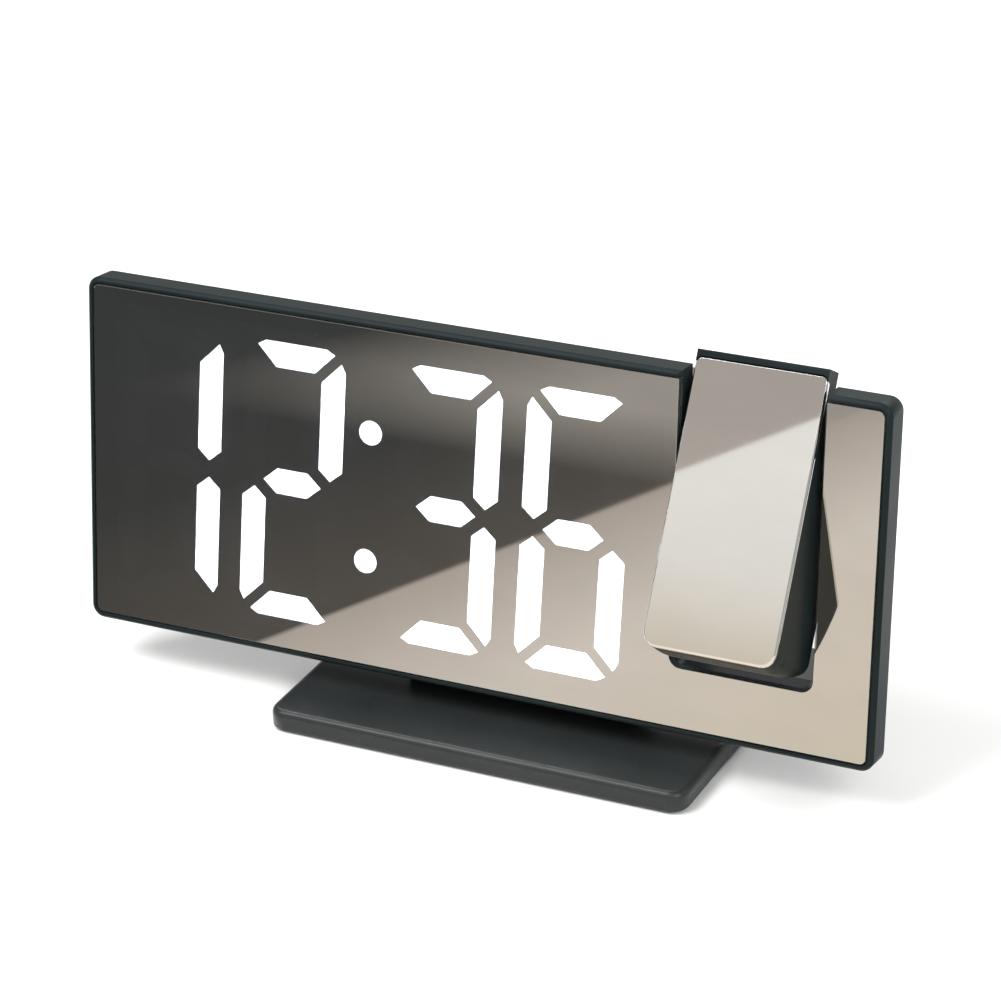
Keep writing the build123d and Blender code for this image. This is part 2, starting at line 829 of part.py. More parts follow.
with BuildPart() as charge_socket:
    with BuildSketch(behind(board_back)):
        with Locations((charge_x, socket_y)):
            Rectangle(charge_width, charge_height)
    extrude(amount=board_back - body_depth + fit)
    with BuildSketch(behind(body_depth)):
        with Locations((charge_x, socket_y)):
            Rectangle(charge_width - 2 * charge_skin, charge_height - 2 * charge_skin)
    extrude(amount=body_depth - board_back - socket_floor, mode=Mode.SUBTRACT)
finish(charge_socket, "charge_socket")

with BuildPart() as charge_tongue:
    with BuildSketch(behind(board_back + socket_floor)):
        with Locations((charge_x, socket_y + charge_height / 4)):
            Rectangle(tongue_width, tongue_height)
    extrude(amount=board_back + socket_floor + pin_sink - body_depth)
    chamfer(charge_tongue.edges().group_by(Axis(face.origin, face.z_dir))[0], fine_break)
finish(charge_tongue, "charge_tongue")

with BuildPart() as buzzer:
    with BuildSketch(behind(wall_inside)):
        with Locations((buzzer_x, buzzer_y)):
            Circle(buzzer_radius)
    extrude(amount=buzzer_height)
    chamfer(buzzer.edges().group_by(Axis(face.origin, face.z_dir))[-1], edge_break)
finish(buzzer, "buzzer")

cell_floor = cell_seat - cell_pocket
tab_x = cell_x - cell_radius - fit - tab_thickness / 2
with BuildPart() as cell_contacts:
    with BuildSketch(behind(cell_floor)):
        with Locations((cell_x, cell_y)):
            Rectangle(contact_width, contact_length)
    extrude(amount=-contact_thickness)
    with BuildSketch(behind(cell_floor)):
        with Locations((tab_x, cell_y)):
            Rectangle(tab_thickness, contact_width)
    extrude(amount=-contact_thickness - cell_height)
finish(cell_contacts, "cell_contacts")

with BuildPart() as backup_cell:
    with BuildSketch(behind(cell_floor + contact_thickness)):
        with Locations((cell_x, cell_y)):
            Circle(cell_radius)
    extrude(amount=-cell_height)
    chamfer(backup_cell.edges().group_by(Axis(face.origin, face.z_dir))[-1], edge_break)
finish(backup_cell, "backup_cell")

with BuildPart() as battery_door:
    with BuildSketch(behind(cell_seat)):
        with Locations(door_spot):
            RectangleRounded(door_width, door_height, 2)
    extrude(amount=-door_thickness)
    chamfer(battery_door.edges().group_by(Axis(face.origin, face.z_dir))[0], fine_break)
    with BuildSketch(behind(cell_seat + door_thickness)):
        with Locations(door_screw_spot):
            Circle(head_radius + fit)
    extrude(amount=door_thickness - door_web, mode=Mode.SUBTRACT)
    with BuildSketch(behind(cell_seat)):
        with Locations(door_screw_spot):
            Circle(pilot_radius)
    extrude(amount=-door_thickness, mode=Mode.SUBTRACT)
finish(battery_door, "battery_door")

with BuildPart() as door_screw:
    screws(behind(cell_seat + door_web), [door_screw_spot], door_web + door_post - 1, 1)
    with BuildSketch(behind(cell_seat + door_web + 1)):
        with Locations(door_screw_spot):
            Circle(head_radius)
    extrude(amount=-head_height, mode=Mode.SUBTRACT)
finish(door_screw, "door_screw")

# ---------------------------------------------------------------- buttons
button_names = ["mode_button", "set_button", "down_button", "up_button", "projector_button"]
for name, spot in zip(button_names, button_spots):
    with BuildPart() as button:
        with BuildSketch(behind(wall_inside - fit)):
            with Locations(spot):
                RectangleRounded(button_length, button_height, button_corner)
        extrude(amount=wall_inside - fit - body_depth - button_proud)
        fillet(button.edges().group_by(Axis(face.origin, face.z_dir))[0], edge_break)
        with BuildSketch(behind(wall_inside - fit)):
            with Locations(spot):
                RectangleRounded(
                    button_length + 2 * button_lip,
                    button_height + 2 * button_lip,
                    button_corner + button_lip,
                )
        extrude(amount=button_flange)
        with BuildSketch(behind(wall_inside - fit - button_flange)):
            with Locations(spot):
                Circle(plunger_radius)
        extrude(amount=wall_inside - fit - button_flange - button_stem)
    finish(button, name)

with BuildPart() as snooze_board:
    with BuildSketch(level(snooze_board_top)):
        with Locations((snooze_x, snooze_middle)):
            Rectangle(snooze_board_length, snooze_board_depth)
        with Locations(*snooze_posts):
            Circle(peg_radius + slip, mode=Mode.SUBTRACT)
    extrude(amount=-board_thickness)
finish(snooze_board, "snooze_board")

with BuildPart() as snooze_switch:
    with BuildSketch(level(snooze_board_top)):
        with Locations((snooze_x, snooze_middle)):
            Rectangle(switch_side, switch_side)
    extrude(amount=switch_height)
    with BuildSketch(level(snooze_board_top + switch_height)):
        with Locations((snooze_x, snooze_middle)):
            Circle(plunger_radius)
    extrude(amount=plunger_height)
finish(snooze_switch, "snooze_switch")


def snooze_slope(front, back, top, thickness):
    """outline of a strip that follows the hump's sloping top, this far above it"""
    return [
        (hump_side(front) + top, -front),
        (hump_side(back) + top, -back),
        (hump_side(back) + top - thickness, -back),
        (hump_side(front) + top - thickness, -front),
    ]


flange_drop = -hump_wall - fit
with BuildPart() as snooze_button:
    with BuildSketch(beside(snooze_x - snooze_length / 2)):
        Polygon(
            *snooze_slope(snooze_front, snooze_back, snooze_proud, snooze_proud - flange_drop), align=None
        )
    extrude(amount=snooze_length)
    fillet(snooze_button.edges().filter_by(Axis(face.origin, face.y_dir)), button_corner)
    fillet(snooze_button.faces().sort_by(Axis(face.origin, face.y_dir))[-1].edges(), edge_break)
    with BuildSketch(beside(snooze_x - snooze_length / 2 - 1)):
        Polygon(
            *snooze_slope(snooze_front - 1, snooze_back + 1, flange_drop, button_flange), align=None
        )
    extrude(amount=snooze_length + 2)
    with BuildSketch(level(snooze_stem)):
        with Locations((snooze_x, snooze_middle)):
            Rectangle(switch_side, 2 * plunger_radius)
    extrude(amount=hump_side(snooze_middle) + flange_drop - snooze_stem)
finish(snooze_button, "snooze_button")

# ---------------------------------------------------------------- pivot
washer_thickness = arm_gap - fit
pin_length = slot_wall + arm_gap + arm_wall + pin_tip
for side, name in ((-1, "pivot_pin_left"), (1, "pivot_pin_right")):
    pin_head = arm_x + side * (slot_width / 2 + slot_wall)
    with BuildPart() as pivot_pin:
        with BuildSketch(beside(pin_head)):
            with Locations((pivot_height, -pivot_depth)):
                Circle(pin_flange_radius)
        extrude(amount=side * pin_flange)
        with BuildSketch(beside(pin_head)):
            with Locations((pivot_height, -pivot_depth)):
                Circle(pin_radius)
        extrude(amount=-side * pin_length)
        if side < 0:
            with BuildSketch(beside(pin_head - pin_flange)):
                with Locations((pivot_height, -pivot_depth)):
                    Circle(pin_bore)
            extrude(amount=pin_flange + pin_length, mode=Mode.SUBTRACT)
    finish(pivot_pin, name)

for side, name in ((-1, "friction_washer"), (1, "spacer_washer")):
    with BuildPart() as washer:
        with BuildSketch(beside(arm_x + side * (slot_width / 2 - fit / 2))):
            with Locations((pivot_height, -pivot_depth)):
                Circle(washer_radius)
                Circle(pin_radius + fit, mode=Mode.SUBTRACT)
        extrude(amount=-side * washer_thickness)
    finish(washer, name)

# ---------------------------------------------------------------- swinging arm
half_arm = arm_width / 2
arm_seam = arm_front - arm_rim
mirror_back = arm_front - arm_mirror_thickness
arm_floor = mirror_back - arm_wall
arm_span = 2 * arm_reach
arm_post_spots = [(-arm_post_x, arm_post_y), (arm_post_x, arm_post_y)]


def arm_profile(back, front, top, reach):
    """side outline of a part of the arm, its lower end an arc about the pivot"""
    with Locations((top - arm_span / 2, (back + front) / 2)):
        Rectangle(arm_span, front - back)
    Circle(reach, mode=Mode.INTERSECT)


with BuildPart() as arm_front_shell:
    with BuildSketch(arm_beside(-half_arm)):
        arm_profile(arm_seam, arm_front, arm_top, arm_reach)
    extrude(amount=arm_width)
    fillet(arm_front_shell.edges().filter_by(GeomType.CIRCLE), arm_corner)
    with BuildSketch(arm_beside(-half_arm + arm_wall)):
        arm_profile(arm_seam, arm_floor, lens_end - arm_wall, arm_reach - arm_wall)
    extrude(amount=arm_width - 2 * arm_wall, mode=Mode.SUBTRACT)
    with BuildSketch(arm.offset(arm_floor)):
        with Locations(*arm_post_spots):
            Circle(boss_radius)
    extrude(amount=arm_post_end - arm_floor)
    with BuildSketch(arm.offset(arm_post_end)):
        with Locations(*arm_post_spots):
            Circle(pilot_radius)
    extrude(amount=arm_floor - arm_post_end - 1, mode=Mode.SUBTRACT)
    with BuildSketch(arm.offset(mirror_back)):
        with Locations((0, arm_top - arm_mirror_top - arm_span / 2)):
            RectangleRounded(arm_width + fit, arm_span, arm_mirror_corner)
    extrude(amount=arm_mirror_thickness, mode=Mode.SUBTRACT)
    # tabs that hook under the rear shell's upper end
    with BuildSketch(arm.offset(arm_floor)):
        with Locations((0, lens_end - arm_wall - fit - tab_rise / 2)):
            with GridLocations(2 * tab_spread, 0, 2, 1):
                Rectangle(tab_width, tab_rise)
    extrude(amount=arm_seam - tab_reach - arm_floor)
finish(arm_front_shell, "arm_front_shell")

with BuildPart() as arm_mirror:
    with BuildSketch(arm_beside(-half_arm)):
        arm_profile(mirror_back, arm_front, arm_top - arm_mirror_top - fit, arm_reach)
    extrude(amount=arm_width)
    fillet(arm_mirror.edges().filter_by(GeomType.CIRCLE), arm_corner)
    upright_edges = arm_mirror.edges().filter_by(Axis(arm.origin, arm.z_dir))
    fillet(upright_edges.sort_by(Axis(arm.origin, arm.y_dir))[-2:], arm_mirror_corner)
    chamfer(arm_mirror.faces().sort_by(Axis(arm.origin, arm.z_dir))[-1].edges(), mirror_bevel)
finish(arm_mirror, "arm_mirror")

arm_inside = lens_end - arm_wall
with BuildPart() as arm_rear_shell:
    with BuildSketch(arm_beside(-half_arm)):
        arm_profile(-arm_back, arm_seam, lens_end, arm_reach)
    extrude(amount=arm_width)
    fillet(arm_rear_shell.edges().filter_by(GeomType.CIRCLE), arm_corner)
    fillet(arm_rear_shell.edges().group_by(Axis(arm.origin, arm.z_dir))[0], arm_edge)
    with BuildSketch(arm_beside(-half_arm + arm_wall)):
        arm_profile(arm_wall - arm_back, arm_seam, arm_inside, arm_reach - arm_wall)
    extrude(amount=arm_width - 2 * arm_wall, mode=Mode.SUBTRACT)
    with BuildSketch(arm.offset(arm_post_end)):
        with Locations(*arm_post_spots):
            Circle(well_radius + well_wall)
    extrude(amount=arm_wall / 2 - arm_back - arm_post_end)
    with BuildSketch(arm.offset(arm_post_end - 2)):
        with Locations(*arm_post_spots):
            Circle(well_radius)
    extrude(amount=-arm_back, mode=Mode.SUBTRACT)
    with BuildSketch(arm.offset(arm_post_end)):
        with Locations(*arm_post_spots):
            Circle(pilot_radius)
    extrude(amount=-arm_back, mode=Mode.SUBTRACT)
    # ribs that carry the lens guide and the lamp's board
    for rib_top in (guide_bottom, lamp_level - board_thickness):
        with BuildSketch(arm_level(rib_top - slip)):
            with Locations((0, (arm_back - arm_wall + rib_front) / 2)):
                Rectangle(arm_width - arm_wall, arm_back - arm_wall - rib_front)
                Rectangle(2 * rib_gap, arm_back - arm_wall - rib_front, mode=Mode.SUBTRACT)
        extrude(amount=-rib_thickness)
    with BuildSketch(arm_beside(-half_arm)):
        Circle(pin_radius + slip)
    extrude(amount=arm_width, mode=Mode.SUBTRACT)
    with BuildSketch(arm_level(lens_end)):
        with Locations((0, axis_depth)):
            Circle(barrel_radius + free)
    extrude(amount=-arm_wall, mode=Mode.SUBTRACT)
    with BuildSketch(arm.offset(-arm_back)):
        with Locations((0, wheel_top - wheel_length / 2)):
            RectangleRounded(2 * wheel_slot, wheel_length + 2 * free, button_corner)
    extrude(amount=arm_wall, mode=Mode.SUBTRACT)
finish(arm_rear_shell, "arm_rear_shell")

with BuildPart() as arm_screws:
    screws(arm.offset(arm_post_end - 2), arm_post_spots, arm_floor - arm_post_end, 1)
finish(arm_screws, "arm_screws")

# ---------------------------------------------------------------- projector in the arm
with BuildPart() as barrel_guide:
    with BuildSketch(arm_level(guide_bottom)):
        with Locations((0, axis_depth)):
            Circle(barrel_radius + slip + guide_wall)
    extrude(amount=arm_inside - fit - guide_bottom)
    with BuildSketch(arm_level(guide_bottom)):
        with Locations((0, axis_depth)):
            Rectangle(arm_width - 2 * arm_wall - 2 * fit, arm_back + rib_front)
    extrude(amount=guide_flange)
    with BuildSketch(arm_level(guide_bottom)):
        with Locations((0, axis_depth)):
            Circle(barrel_radius + slip)
    extrude(amount=arm_inside - guide_bottom, mode=Mode.SUBTRACT)
    with BuildSketch(arm_level(guide_bottom)):
        with Locations((0, axis_depth + barrel_radius + slip - key_height / 2)):
            Rectangle(key_width, key_height + slip)
    extrude(amount=key_length)
finish(barrel_guide, "barrel_guide")

barrel_bottom = barrel_top - barrel_length
lens_seat = barrel_top - lens_seat_depth
with BuildPart() as lens_barrel:
    with BuildSketch(arm_level(barrel_top)):
        with Locations((0, axis_depth)):
            Circle(barrel_radius)
    extrude(amount=-barrel_length)
    chamfer(lens_barrel.edges().group_by(Axis(arm.origin, arm.y_dir))[-1], fine_break)
    with BuildSketch(arm_level(barrel_bottom)):
        with Locations((0, axis_depth)):
            Circle(barrel_bore)
    extrude(amount=barrel_length, mode=Mode.SUBTRACT)
    with BuildSketch(arm_level(lens_seat)):
        with Locations((0, axis_depth)):
            Circle(lens_radius)
    extrude(amount=lens_seat_depth, mode=Mode.SUBTRACT)
    with BuildSketch(arm_level(barrel_bottom)):
        with Locations((0, axis_depth + barrel_radius)):
            Rectangle(key_width + 2 * slip, 2 * key_height + 2 * slip)
    extrude(amount=guide_bottom + key_length + focus_travel + free - barrel_bottom, mode=Mode.SUBTRACT)
finish(lens_barrel, "lens_barrel")

lens_sag = (lens_thickness - lens_rim) / 2


def lens_curve(base, sag, radius):
    """arc of a lens face on the arm's middle plane, from the light's axis to its edge"""
    ThreePointArc(
        (base + sag, -axis_depth),
        (base + sag * sag_halfway, -axis_depth + radius / 2),
        (base, -axis_depth + radius),
    )


with BuildPart() as projection_lens:
    with BuildSketch(arm_beside(0)):
        with BuildLine():
            Line((lens_seat - lens_sag, -axis_depth), (lens_seat + lens_rim + lens_sag, -axis_depth))
            lens_curve(lens_seat + lens_rim, lens_sag, barrel_bore)
            Polyline(
                (lens_seat + lens_rim, -axis_depth + barrel_bore),
                (lens_seat + lens_rim, -axis_depth + lens_radius - slip),
                (lens_seat, -axis_depth + lens_radius - slip),
                (lens_seat, -axis_depth + barrel_bore),
            )
            lens_curve(lens_seat, -lens_sag, barrel_bore)
        make_face()
    revolve(axis=Axis(arm.from_local_coords((0, 0, -axis_depth)), arm.y_dir))
finish(projection_lens, "projection_lens")

with BuildPart() as focus_wheel:
    with BuildSketch(arm_level(wheel_top)):
        with Locations((0, axis_depth)):
            Circle(wheel_radius)
            Circle(barrel_radius + slip, mode=Mode.SUBTRACT)
            with PolarLocations(wheel_radius, wheel_notches):
                Circle(wheel_notch, mode=Mode.SUBTRACT)
    extrude(amount=-wheel_length)
finish(focus_wheel, "focus_wheel")

with BuildPart() as slide_carrier:
    with BuildSketch(arm_level(carrier_top)):
        with Locations((0, (arm_back - arm_wall + rib_front) / 2)):
            Rectangle(carrier_width, arm_back - arm_wall - rib_front - 2 * fit)
    extrude(amount=-carrier_length)
    with BuildSketch(arm_level(carrier_top)):
        with Locations((0, axis_depth)):
            Circle(barrel_radius + free)
    extrude(amount=-carrier_mouth, mode=Mode.SUBTRACT)
    with BuildSketch(arm_level(carrier_top)):
        with Locations((0, axis_depth)):
            Rectangle(light_channel, light_channel)
    extrude(amount=-condenser_drop, mode=Mode.SUBTRACT)
    with BuildSketch(arm_level(carrier_top - slide_drop)):
        with Locations((0, axis_depth - slide_side / 2)):
            Rectangle(slide_side + 2 * fit, 2 * slide_side + 2 * fit)
    extrude(amount=-slide_thickness - fit, mode=Mode.SUBTRACT)
    with BuildSketch(arm_level(carrier_top - condenser_drop)):
        with Locations((0, axis_depth)):
            Circle(condenser_radius + slip)
    extrude(amount=condenser_drop - carrier_length, mode=Mode.SUBTRACT)
finish(slide_carrier, "slide_carrier")

with BuildPart() as projected_slide:
    with BuildSketch(arm_level(carrier_top - slide_drop - fit)):
        with Locations((0, axis_depth)):
            Rectangle(slide_side, slide_side)
    extrude(amount=-slide_thickness)
finish(projected_slide, "projected_slide")

condenser_top = carrier_top - condenser_drop
condenser_sag = condenser_height - condenser_rim
with BuildPart() as condenser_lens:
    with BuildSketch(arm_beside(0)):
        with BuildLine():
            Polyline(
                (condenser_top - condenser_height, -axis_depth),
                (condenser_top, -axis_depth),
                (condenser_top, -axis_depth + condenser_radius),
                (condenser_top - condenser_rim, -axis_depth + condenser_radius),
            )
            lens_curve(condenser_top - condenser_rim, -condenser_sag, condenser_radius)
        make_face()
    revolve(axis=Axis(arm.from_local_coords((0, 0, -axis_depth)), arm.y_dir))
finish(condenser_lens, "condenser_lens")

with BuildPart() as lamp_board:
    with BuildSketch(arm_level(lamp_level)):
        with Locations((0, axis_depth)):
            Rectangle(lamp_board_width, lamp_board_depth)
    extrude(amount=-board_thickness)
finish(lamp_board, "lamp_board")

with BuildPart() as projector_lamp:
    with BuildSketch(arm_level(lamp_level)):
        with Locations((0, axis_depth)):
            Rectangle(lamp_side, lamp_side)
    extrude(amount=lamp_height)
finish(projector_lamp, "projector_lamp")
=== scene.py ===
import json
from math import radians

import bmesh
import bpy
from mathutils import Matrix, Quaternion, Vector


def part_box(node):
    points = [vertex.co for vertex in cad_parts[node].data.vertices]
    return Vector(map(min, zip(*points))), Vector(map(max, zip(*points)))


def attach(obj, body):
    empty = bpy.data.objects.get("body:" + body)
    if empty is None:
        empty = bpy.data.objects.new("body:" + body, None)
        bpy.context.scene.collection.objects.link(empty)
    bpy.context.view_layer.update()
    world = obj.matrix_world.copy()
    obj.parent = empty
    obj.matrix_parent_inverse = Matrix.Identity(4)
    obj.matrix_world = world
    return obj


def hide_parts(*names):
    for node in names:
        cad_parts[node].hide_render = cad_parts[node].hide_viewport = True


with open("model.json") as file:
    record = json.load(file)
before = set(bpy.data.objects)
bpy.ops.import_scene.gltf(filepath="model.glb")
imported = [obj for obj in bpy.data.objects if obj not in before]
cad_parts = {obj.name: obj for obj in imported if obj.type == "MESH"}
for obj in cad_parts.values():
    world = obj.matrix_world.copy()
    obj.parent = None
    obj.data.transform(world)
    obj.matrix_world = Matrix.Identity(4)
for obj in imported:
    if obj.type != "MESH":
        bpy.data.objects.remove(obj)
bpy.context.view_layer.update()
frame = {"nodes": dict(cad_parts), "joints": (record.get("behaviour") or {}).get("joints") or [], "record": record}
print("frame loaded:", len(frame["nodes"]), "solids")

mm = 0.001
mergeDistance = 0.002 * mm    # corners nearer than this become one
sameLevel = 0.02 * mm         # corners and faces within this lie at one height
broadFace = 60 * mm * mm      # a flat face larger than this is shaded flat
flatAngle = radians(0.4)      # faces that meet at less than this become one
creaseAngle = radians(35)     # edges of the laid-out pieces sharper than this stay crisp
sameWay = 0.9                 # cosine above which a face looks a given way
parallel = 0.9999             # cosine above which it looks exactly that way

joints = {joint["name"]: joint for joint in frame["joints"]}
toRight = Vector((1, 0, 0))
faceUp = -Vector(joints["snooze_press"]["axis"])       # up the clock's face
faceIn = -Vector(joints["mode_press"]["axis"])         # from the mirror to the back
armUp = Vector(joints["focus_wheel_turn"]["axis"])     # up the arm
armIn = -toRight.cross(armUp)                          # from the arm's mirror to its back
backButtons = ("mode", "set", "down", "up", "projector")


# node helpers for the finishes
def startMaterial(name):
    material = bpy.data.materials.new(name)
    material.use_nodes = True
    tree = material.node_tree
    coords = tree.nodes.new("ShaderNodeTexCoord")
    return material, tree, tree.nodes["Principled BSDF"], coords.outputs["Object"]


def addNoise(tree, coords, scale, detail, roughness=0.55, stretch=None):
    if stretch:
        mapping = tree.nodes.new("ShaderNodeMapping")
        mapping.inputs["Scale"].default_value = stretch
        tree.links.new(coords, mapping.inputs["Vector"])
        coords = mapping.outputs["Vector"]
    noise = tree.nodes.new("ShaderNodeTexNoise")
    noise.inputs["Scale"].default_value = scale
    noise.inputs["Detail"].default_value = detail
    noise.inputs["Roughness"].default_value = roughness
    tree.links.new(coords, noise.inputs["Vector"])
    return noise.outputs["Fac"]


def addRange(tree, value, low, high, fromLow=0.3, fromHigh=0.7):
    spread = tree.nodes.new("ShaderNodeMapRange")
    spread.inputs["From Min"].default_value = fromLow
    spread.inputs["From Max"].default_value = fromHigh
    spread.inputs["To Min"].default_value = low
    spread.inputs["To Max"].default_value = high
    tree.links.new(value, spread.inputs["Value"])
    return spread.outputs["Result"]


def addRamp(tree, value, stops):
    ramp = tree.nodes.new("ShaderNodeValToRGB")
    elements = ramp.color_ramp.elements
    while len(elements) < len(stops):
        elements.new(1.0)
    for element, (place, colour) in zip(elements, stops):
        element.position = place
        element.color = (*colour, 1)
    tree.links.new(value, ramp.inputs["Fac"])
    return ramp.outputs["Color"]


def darkToLight(tree, value, finish):
    # from the finish's dark tone to its light one, over the middle of a noise
    return addRamp(tree, value, [(0.3, finish["dark"]), (0.7, finish["light"])])


def addBump(tree, shader, heights):
    # heights: list of (value, depth in metres), laid one over another
    normal = None
    for value, depth in heights:
        bump = tree.nodes.new("ShaderNodeBump")
        bump.inputs["Strength"].default_value = 1.0
        bump.inputs["Distance"].default_value = depth
        tree.links.new(value, bump.inputs["Height"])
        if normal:
            tree.links.new(normal, bump.inputs["Normal"])
        normal = bump.outputs["Normal"]
    tree.links.new(normal, shader.inputs["Normal"])


def letThrough(tree, shader, finish):
    # a share of the light goes straight through, tinted
    clear = tree.nodes.new("ShaderNodeBsdfTransparent")
    clear.inputs["Color"].default_value = (*finish["tint"], 1)
    blend = tree.nodes.new("ShaderNodeMixShader")
    blend.inputs["Fac"].default_value = finish["clear"]
    tree.links.new(shader.outputs["BSDF"], blend.inputs[1])
    tree.links.new(clear.outputs["BSDF"], blend.inputs[2])
    tree.links.new(blend.outputs["Shader"], tree.nodes["Material Output"].inputs["Surface"])


# finishes: noise scales are per metre, depths are in metres
mouldedLook = {"dustColour": (0.5, 0.5, 0.48), "swellScale": 60, "swellDepth": 0.00001}


def mouldedPlastic(name, finish):
    material, tree, shader, coords = startMaterial(name)
    cloud = addNoise(tree, coords, finish["cloud"], detail=4)
    fleck = addNoise(tree, coords, finish["fleck"], detail=2)
    colour = darkToLight(tree, cloud, finish)
    dust = addRamp(tree, fleck, [(0.62, (0, 0, 0)), (0.8, (1, 1, 1))])
    mix = tree.nodes.new("ShaderNodeMix")
    mix.data_type = "RGBA"
    mix.blend_type = "ADD"
    weaken = tree.nodes.new("ShaderNodeMath")
    weaken.operation = "MULTIPLY"
    weaken.inputs[1].default_value = finish["dust"]
    tree.links.new(dust, weaken.inputs[0])
    tree.links.new(weaken.outputs[0], mix.inputs["Factor"])
    tree.links.new(colour, mix.inputs["A"])
    mix.inputs["B"].default_value = (*mouldedLook["dustColour"], 1)
    tree.links.new(mix.outputs["Result"], shader.inputs["Base Color"])
    tree.links.new(addRange(tree, cloud, *finish["roughness"]), shader.inputs["Roughness"])
    shader.inputs["Specular IOR Level"].default_value = finish.get("sheen", 0.5)
    grain = addNoise(tree, coords, finish["grain"], detail=2, roughness=0.6)
    swell = addNoise(tree, coords, mouldedLook["swellScale"], detail=1)
    addBump(tree, shader, [(swell, mouldedLook["swellDepth"]), (grain, finish["depth"])])
    return material


def plainMetal(name, finish):
    material, tree, shader, coords = startMaterial(name)
    cloud = addNoise(tree, coords, scale=220, detail=3)
    brush = addNoise(tree, coords, finish["grain"], detail=3, roughness=0.6, stretch=finish.get("stretch"))
    tree.links.new(darkToLight(tree, cloud, finish), shader.inputs["Base Color"])
    shader.inputs["Metallic"].default_value = 1.0
    tree.links.new(addRange(tree, brush, *finish["roughness"]), shader.inputs["Roughness"])
    addBump(tree, shader, [(brush, finish["depth"])])
    return material


def mirrorSheet(name, finish):
    # half-silvered acrylic: reflects most of the light, and lets the lit digits through
    material, tree, shader, coords = startMaterial(name)
    smear = addNoise(tree, coords, scale=35, detail=4, roughness=0.6, stretch=(1, 1, 2.5))
    tree.links.new(darkToLight(tree, smear, finish), shader.inputs["Base Color"])
    shader.inputs["Metallic"].default_value = 1.0
    tree.links.new(addRange(tree, smear, *finish["roughness"]), shader.inputs["Roughness"])
    ripple = addNoise(tree, coords, scale=14, detail=1)
    addBump(tree, shader, [(ripple, finish["ripple"])])
    letThrough(tree, shader, finish)
    return material


def clearSheet(name, finish):
    # the clear body of the acrylic, seen at its cut edges
    material, tree, shader, coords = startMaterial(name)
    saw = addNoise(tree, coords, scale=1200, detail=2, roughness=0.6)
    tree.links.new(darkToLight(tree, saw, finish), shader.inputs["Base Color"])
    tree.links.new(addRange(tree, saw, *finish["roughness"]), shader.inputs["Roughness"])
    shader.inputs["Specular IOR Level"].default_value = finish["sheen"]
    letThrough(tree, shader, finish)
    return material


def diffuser(name, finish):
    material, tree, shader, coords = startMaterial(name)
    haze = addNoise(tree, coords, scale=90, detail=2)
    colour = darkToLight(tree, haze, finish)
    tree.links.new(colour, shader.inputs["Base Color"])
    shader.inputs["Roughness"].default_value = 0.6
    shader.inputs["Specular IOR Level"].default_value = 0.1
    if finish["glow"]:
        tree.links.new(colour, shader.inputs["Emission Color"])
        shader.inputs["Emission Strength"].default_value = finish["glow"]
    grain = addNoise(tree, coords, scale=3000, detail=2)
    addBump(tree, shader, [(grain, finish["depth"])])
    return material


def circuitBoard(name, finish):
    # solder mask over copper: square-cornered tracks from a stretched brick pattern
    material, tree, shader, coords = startMaterial(name)
    turned = tree.nodes.new("ShaderNodeMapping")
    turned.inputs["Rotation"].default_value = (radians(finish["lean"]), 0, 0)
    tree.links.new(coords, turned.inputs["Vector"])
    tracks = tree.nodes.new("ShaderNodeTexBrick")
    tracks.offset = 0.37
    tracks.squash = 0.6
    tracks.inputs["Scale"].default_value = finish["tracks"]
    tracks.inputs["Mortar Size"].default_value = 0.02
    tracks.inputs["Mortar Smooth"].default_value = 0.2
    tracks.inputs["Color1"].default_value = (*finish["mask"], 1)
    tracks.inputs["Color2"].default_value = (*finish["mask"], 1)
    tracks.inputs["Mortar"].default_value = (*finish["copper"], 1)
    tree.links.new(turned.outputs["Vector"], tracks.inputs["Vector"])
    tree.links.new(tracks.outputs["Color"], shader.inputs["Base Color"])
    gloss = addNoise(tree, coords, scale=150, detail=2)
    tree.links.new(addRange(tree, gloss, *finish["roughness"]), shader.inputs["Roughness"])
    addBump(tree, shader, [(tracks.outputs["Fac"], finish["depth"])])
    return material


def clearGlass(name, finish):
    material, tree, shader, coords = startMaterial(name)
    haze = addNoise(tree, coords, scale=400, detail=2)
    tree.links.new(darkToLight(tree, haze, finish), shader.inputs["Base Color"])
    tree.links.new(addRange(tree, haze, *finish["roughness"]), shader.inputs["Roughness"])
    shader.inputs["Transmission Weight"].default_value = 1.0
    shader.inputs["IOR"].default_value = 1.52
    shader.inputs["Coat Weight"].default_value = 0.4
    shader.inputs["Coat Tint"].default_value = (0.75, 0.6, 1.0, 1)
    return material


blackPlastic = mouldedPlastic("blackPlastic", {
    "dark": (0.007, 0.012, 0.013), "light": (0.012, 0.018, 0.019), "cloud": 30, "fleck": 900,
    "dust": 0.012, "roughness": (0.3, 0.42), "grain": 2600, "depth": 0.000006, "sheen": 0.07})
standPlastic = mouldedPlastic("standPlastic", {
    "dark": (0.015, 0.018, 0.018), "light": (0.022, 0.025, 0.025), "cloud": 24, "fleck": 700,
    "dust": 0.02, "roughness": (0.26, 0.36), "grain": 1800, "depth": 0.000004, "sheen": 0.3})
rearPlastic = mouldedPlastic("rearPlastic", {
    "dark": (0.026, 0.033, 0.034), "light": (0.038, 0.046, 0.047), "cloud": 26, "fleck": 800,
    "dust": 0.03, "roughness": (0.45, 0.6), "grain": 1500, "depth": 0.00002})
armPlastic = mouldedPlastic("armPlastic", {
    "dark": (0.007, 0.012, 0.013), "light": (0.012, 0.018, 0.019), "cloud": 40, "fleck": 900,
    "dust": 0.012, "roughness": (0.32, 0.45), "grain": 2400, "depth": 0.000008, "sheen": 0.07})
buttonPlastic = mouldedPlastic("buttonPlastic", {
    "dark": (0.03, 0.034, 0.036), "light": (0.042, 0.047, 0.05), "cloud": 90, "fleck": 900,
    "dust": 0.02, "roughness": (0.28, 0.4), "grain": 2500, "depth": 0.000006})
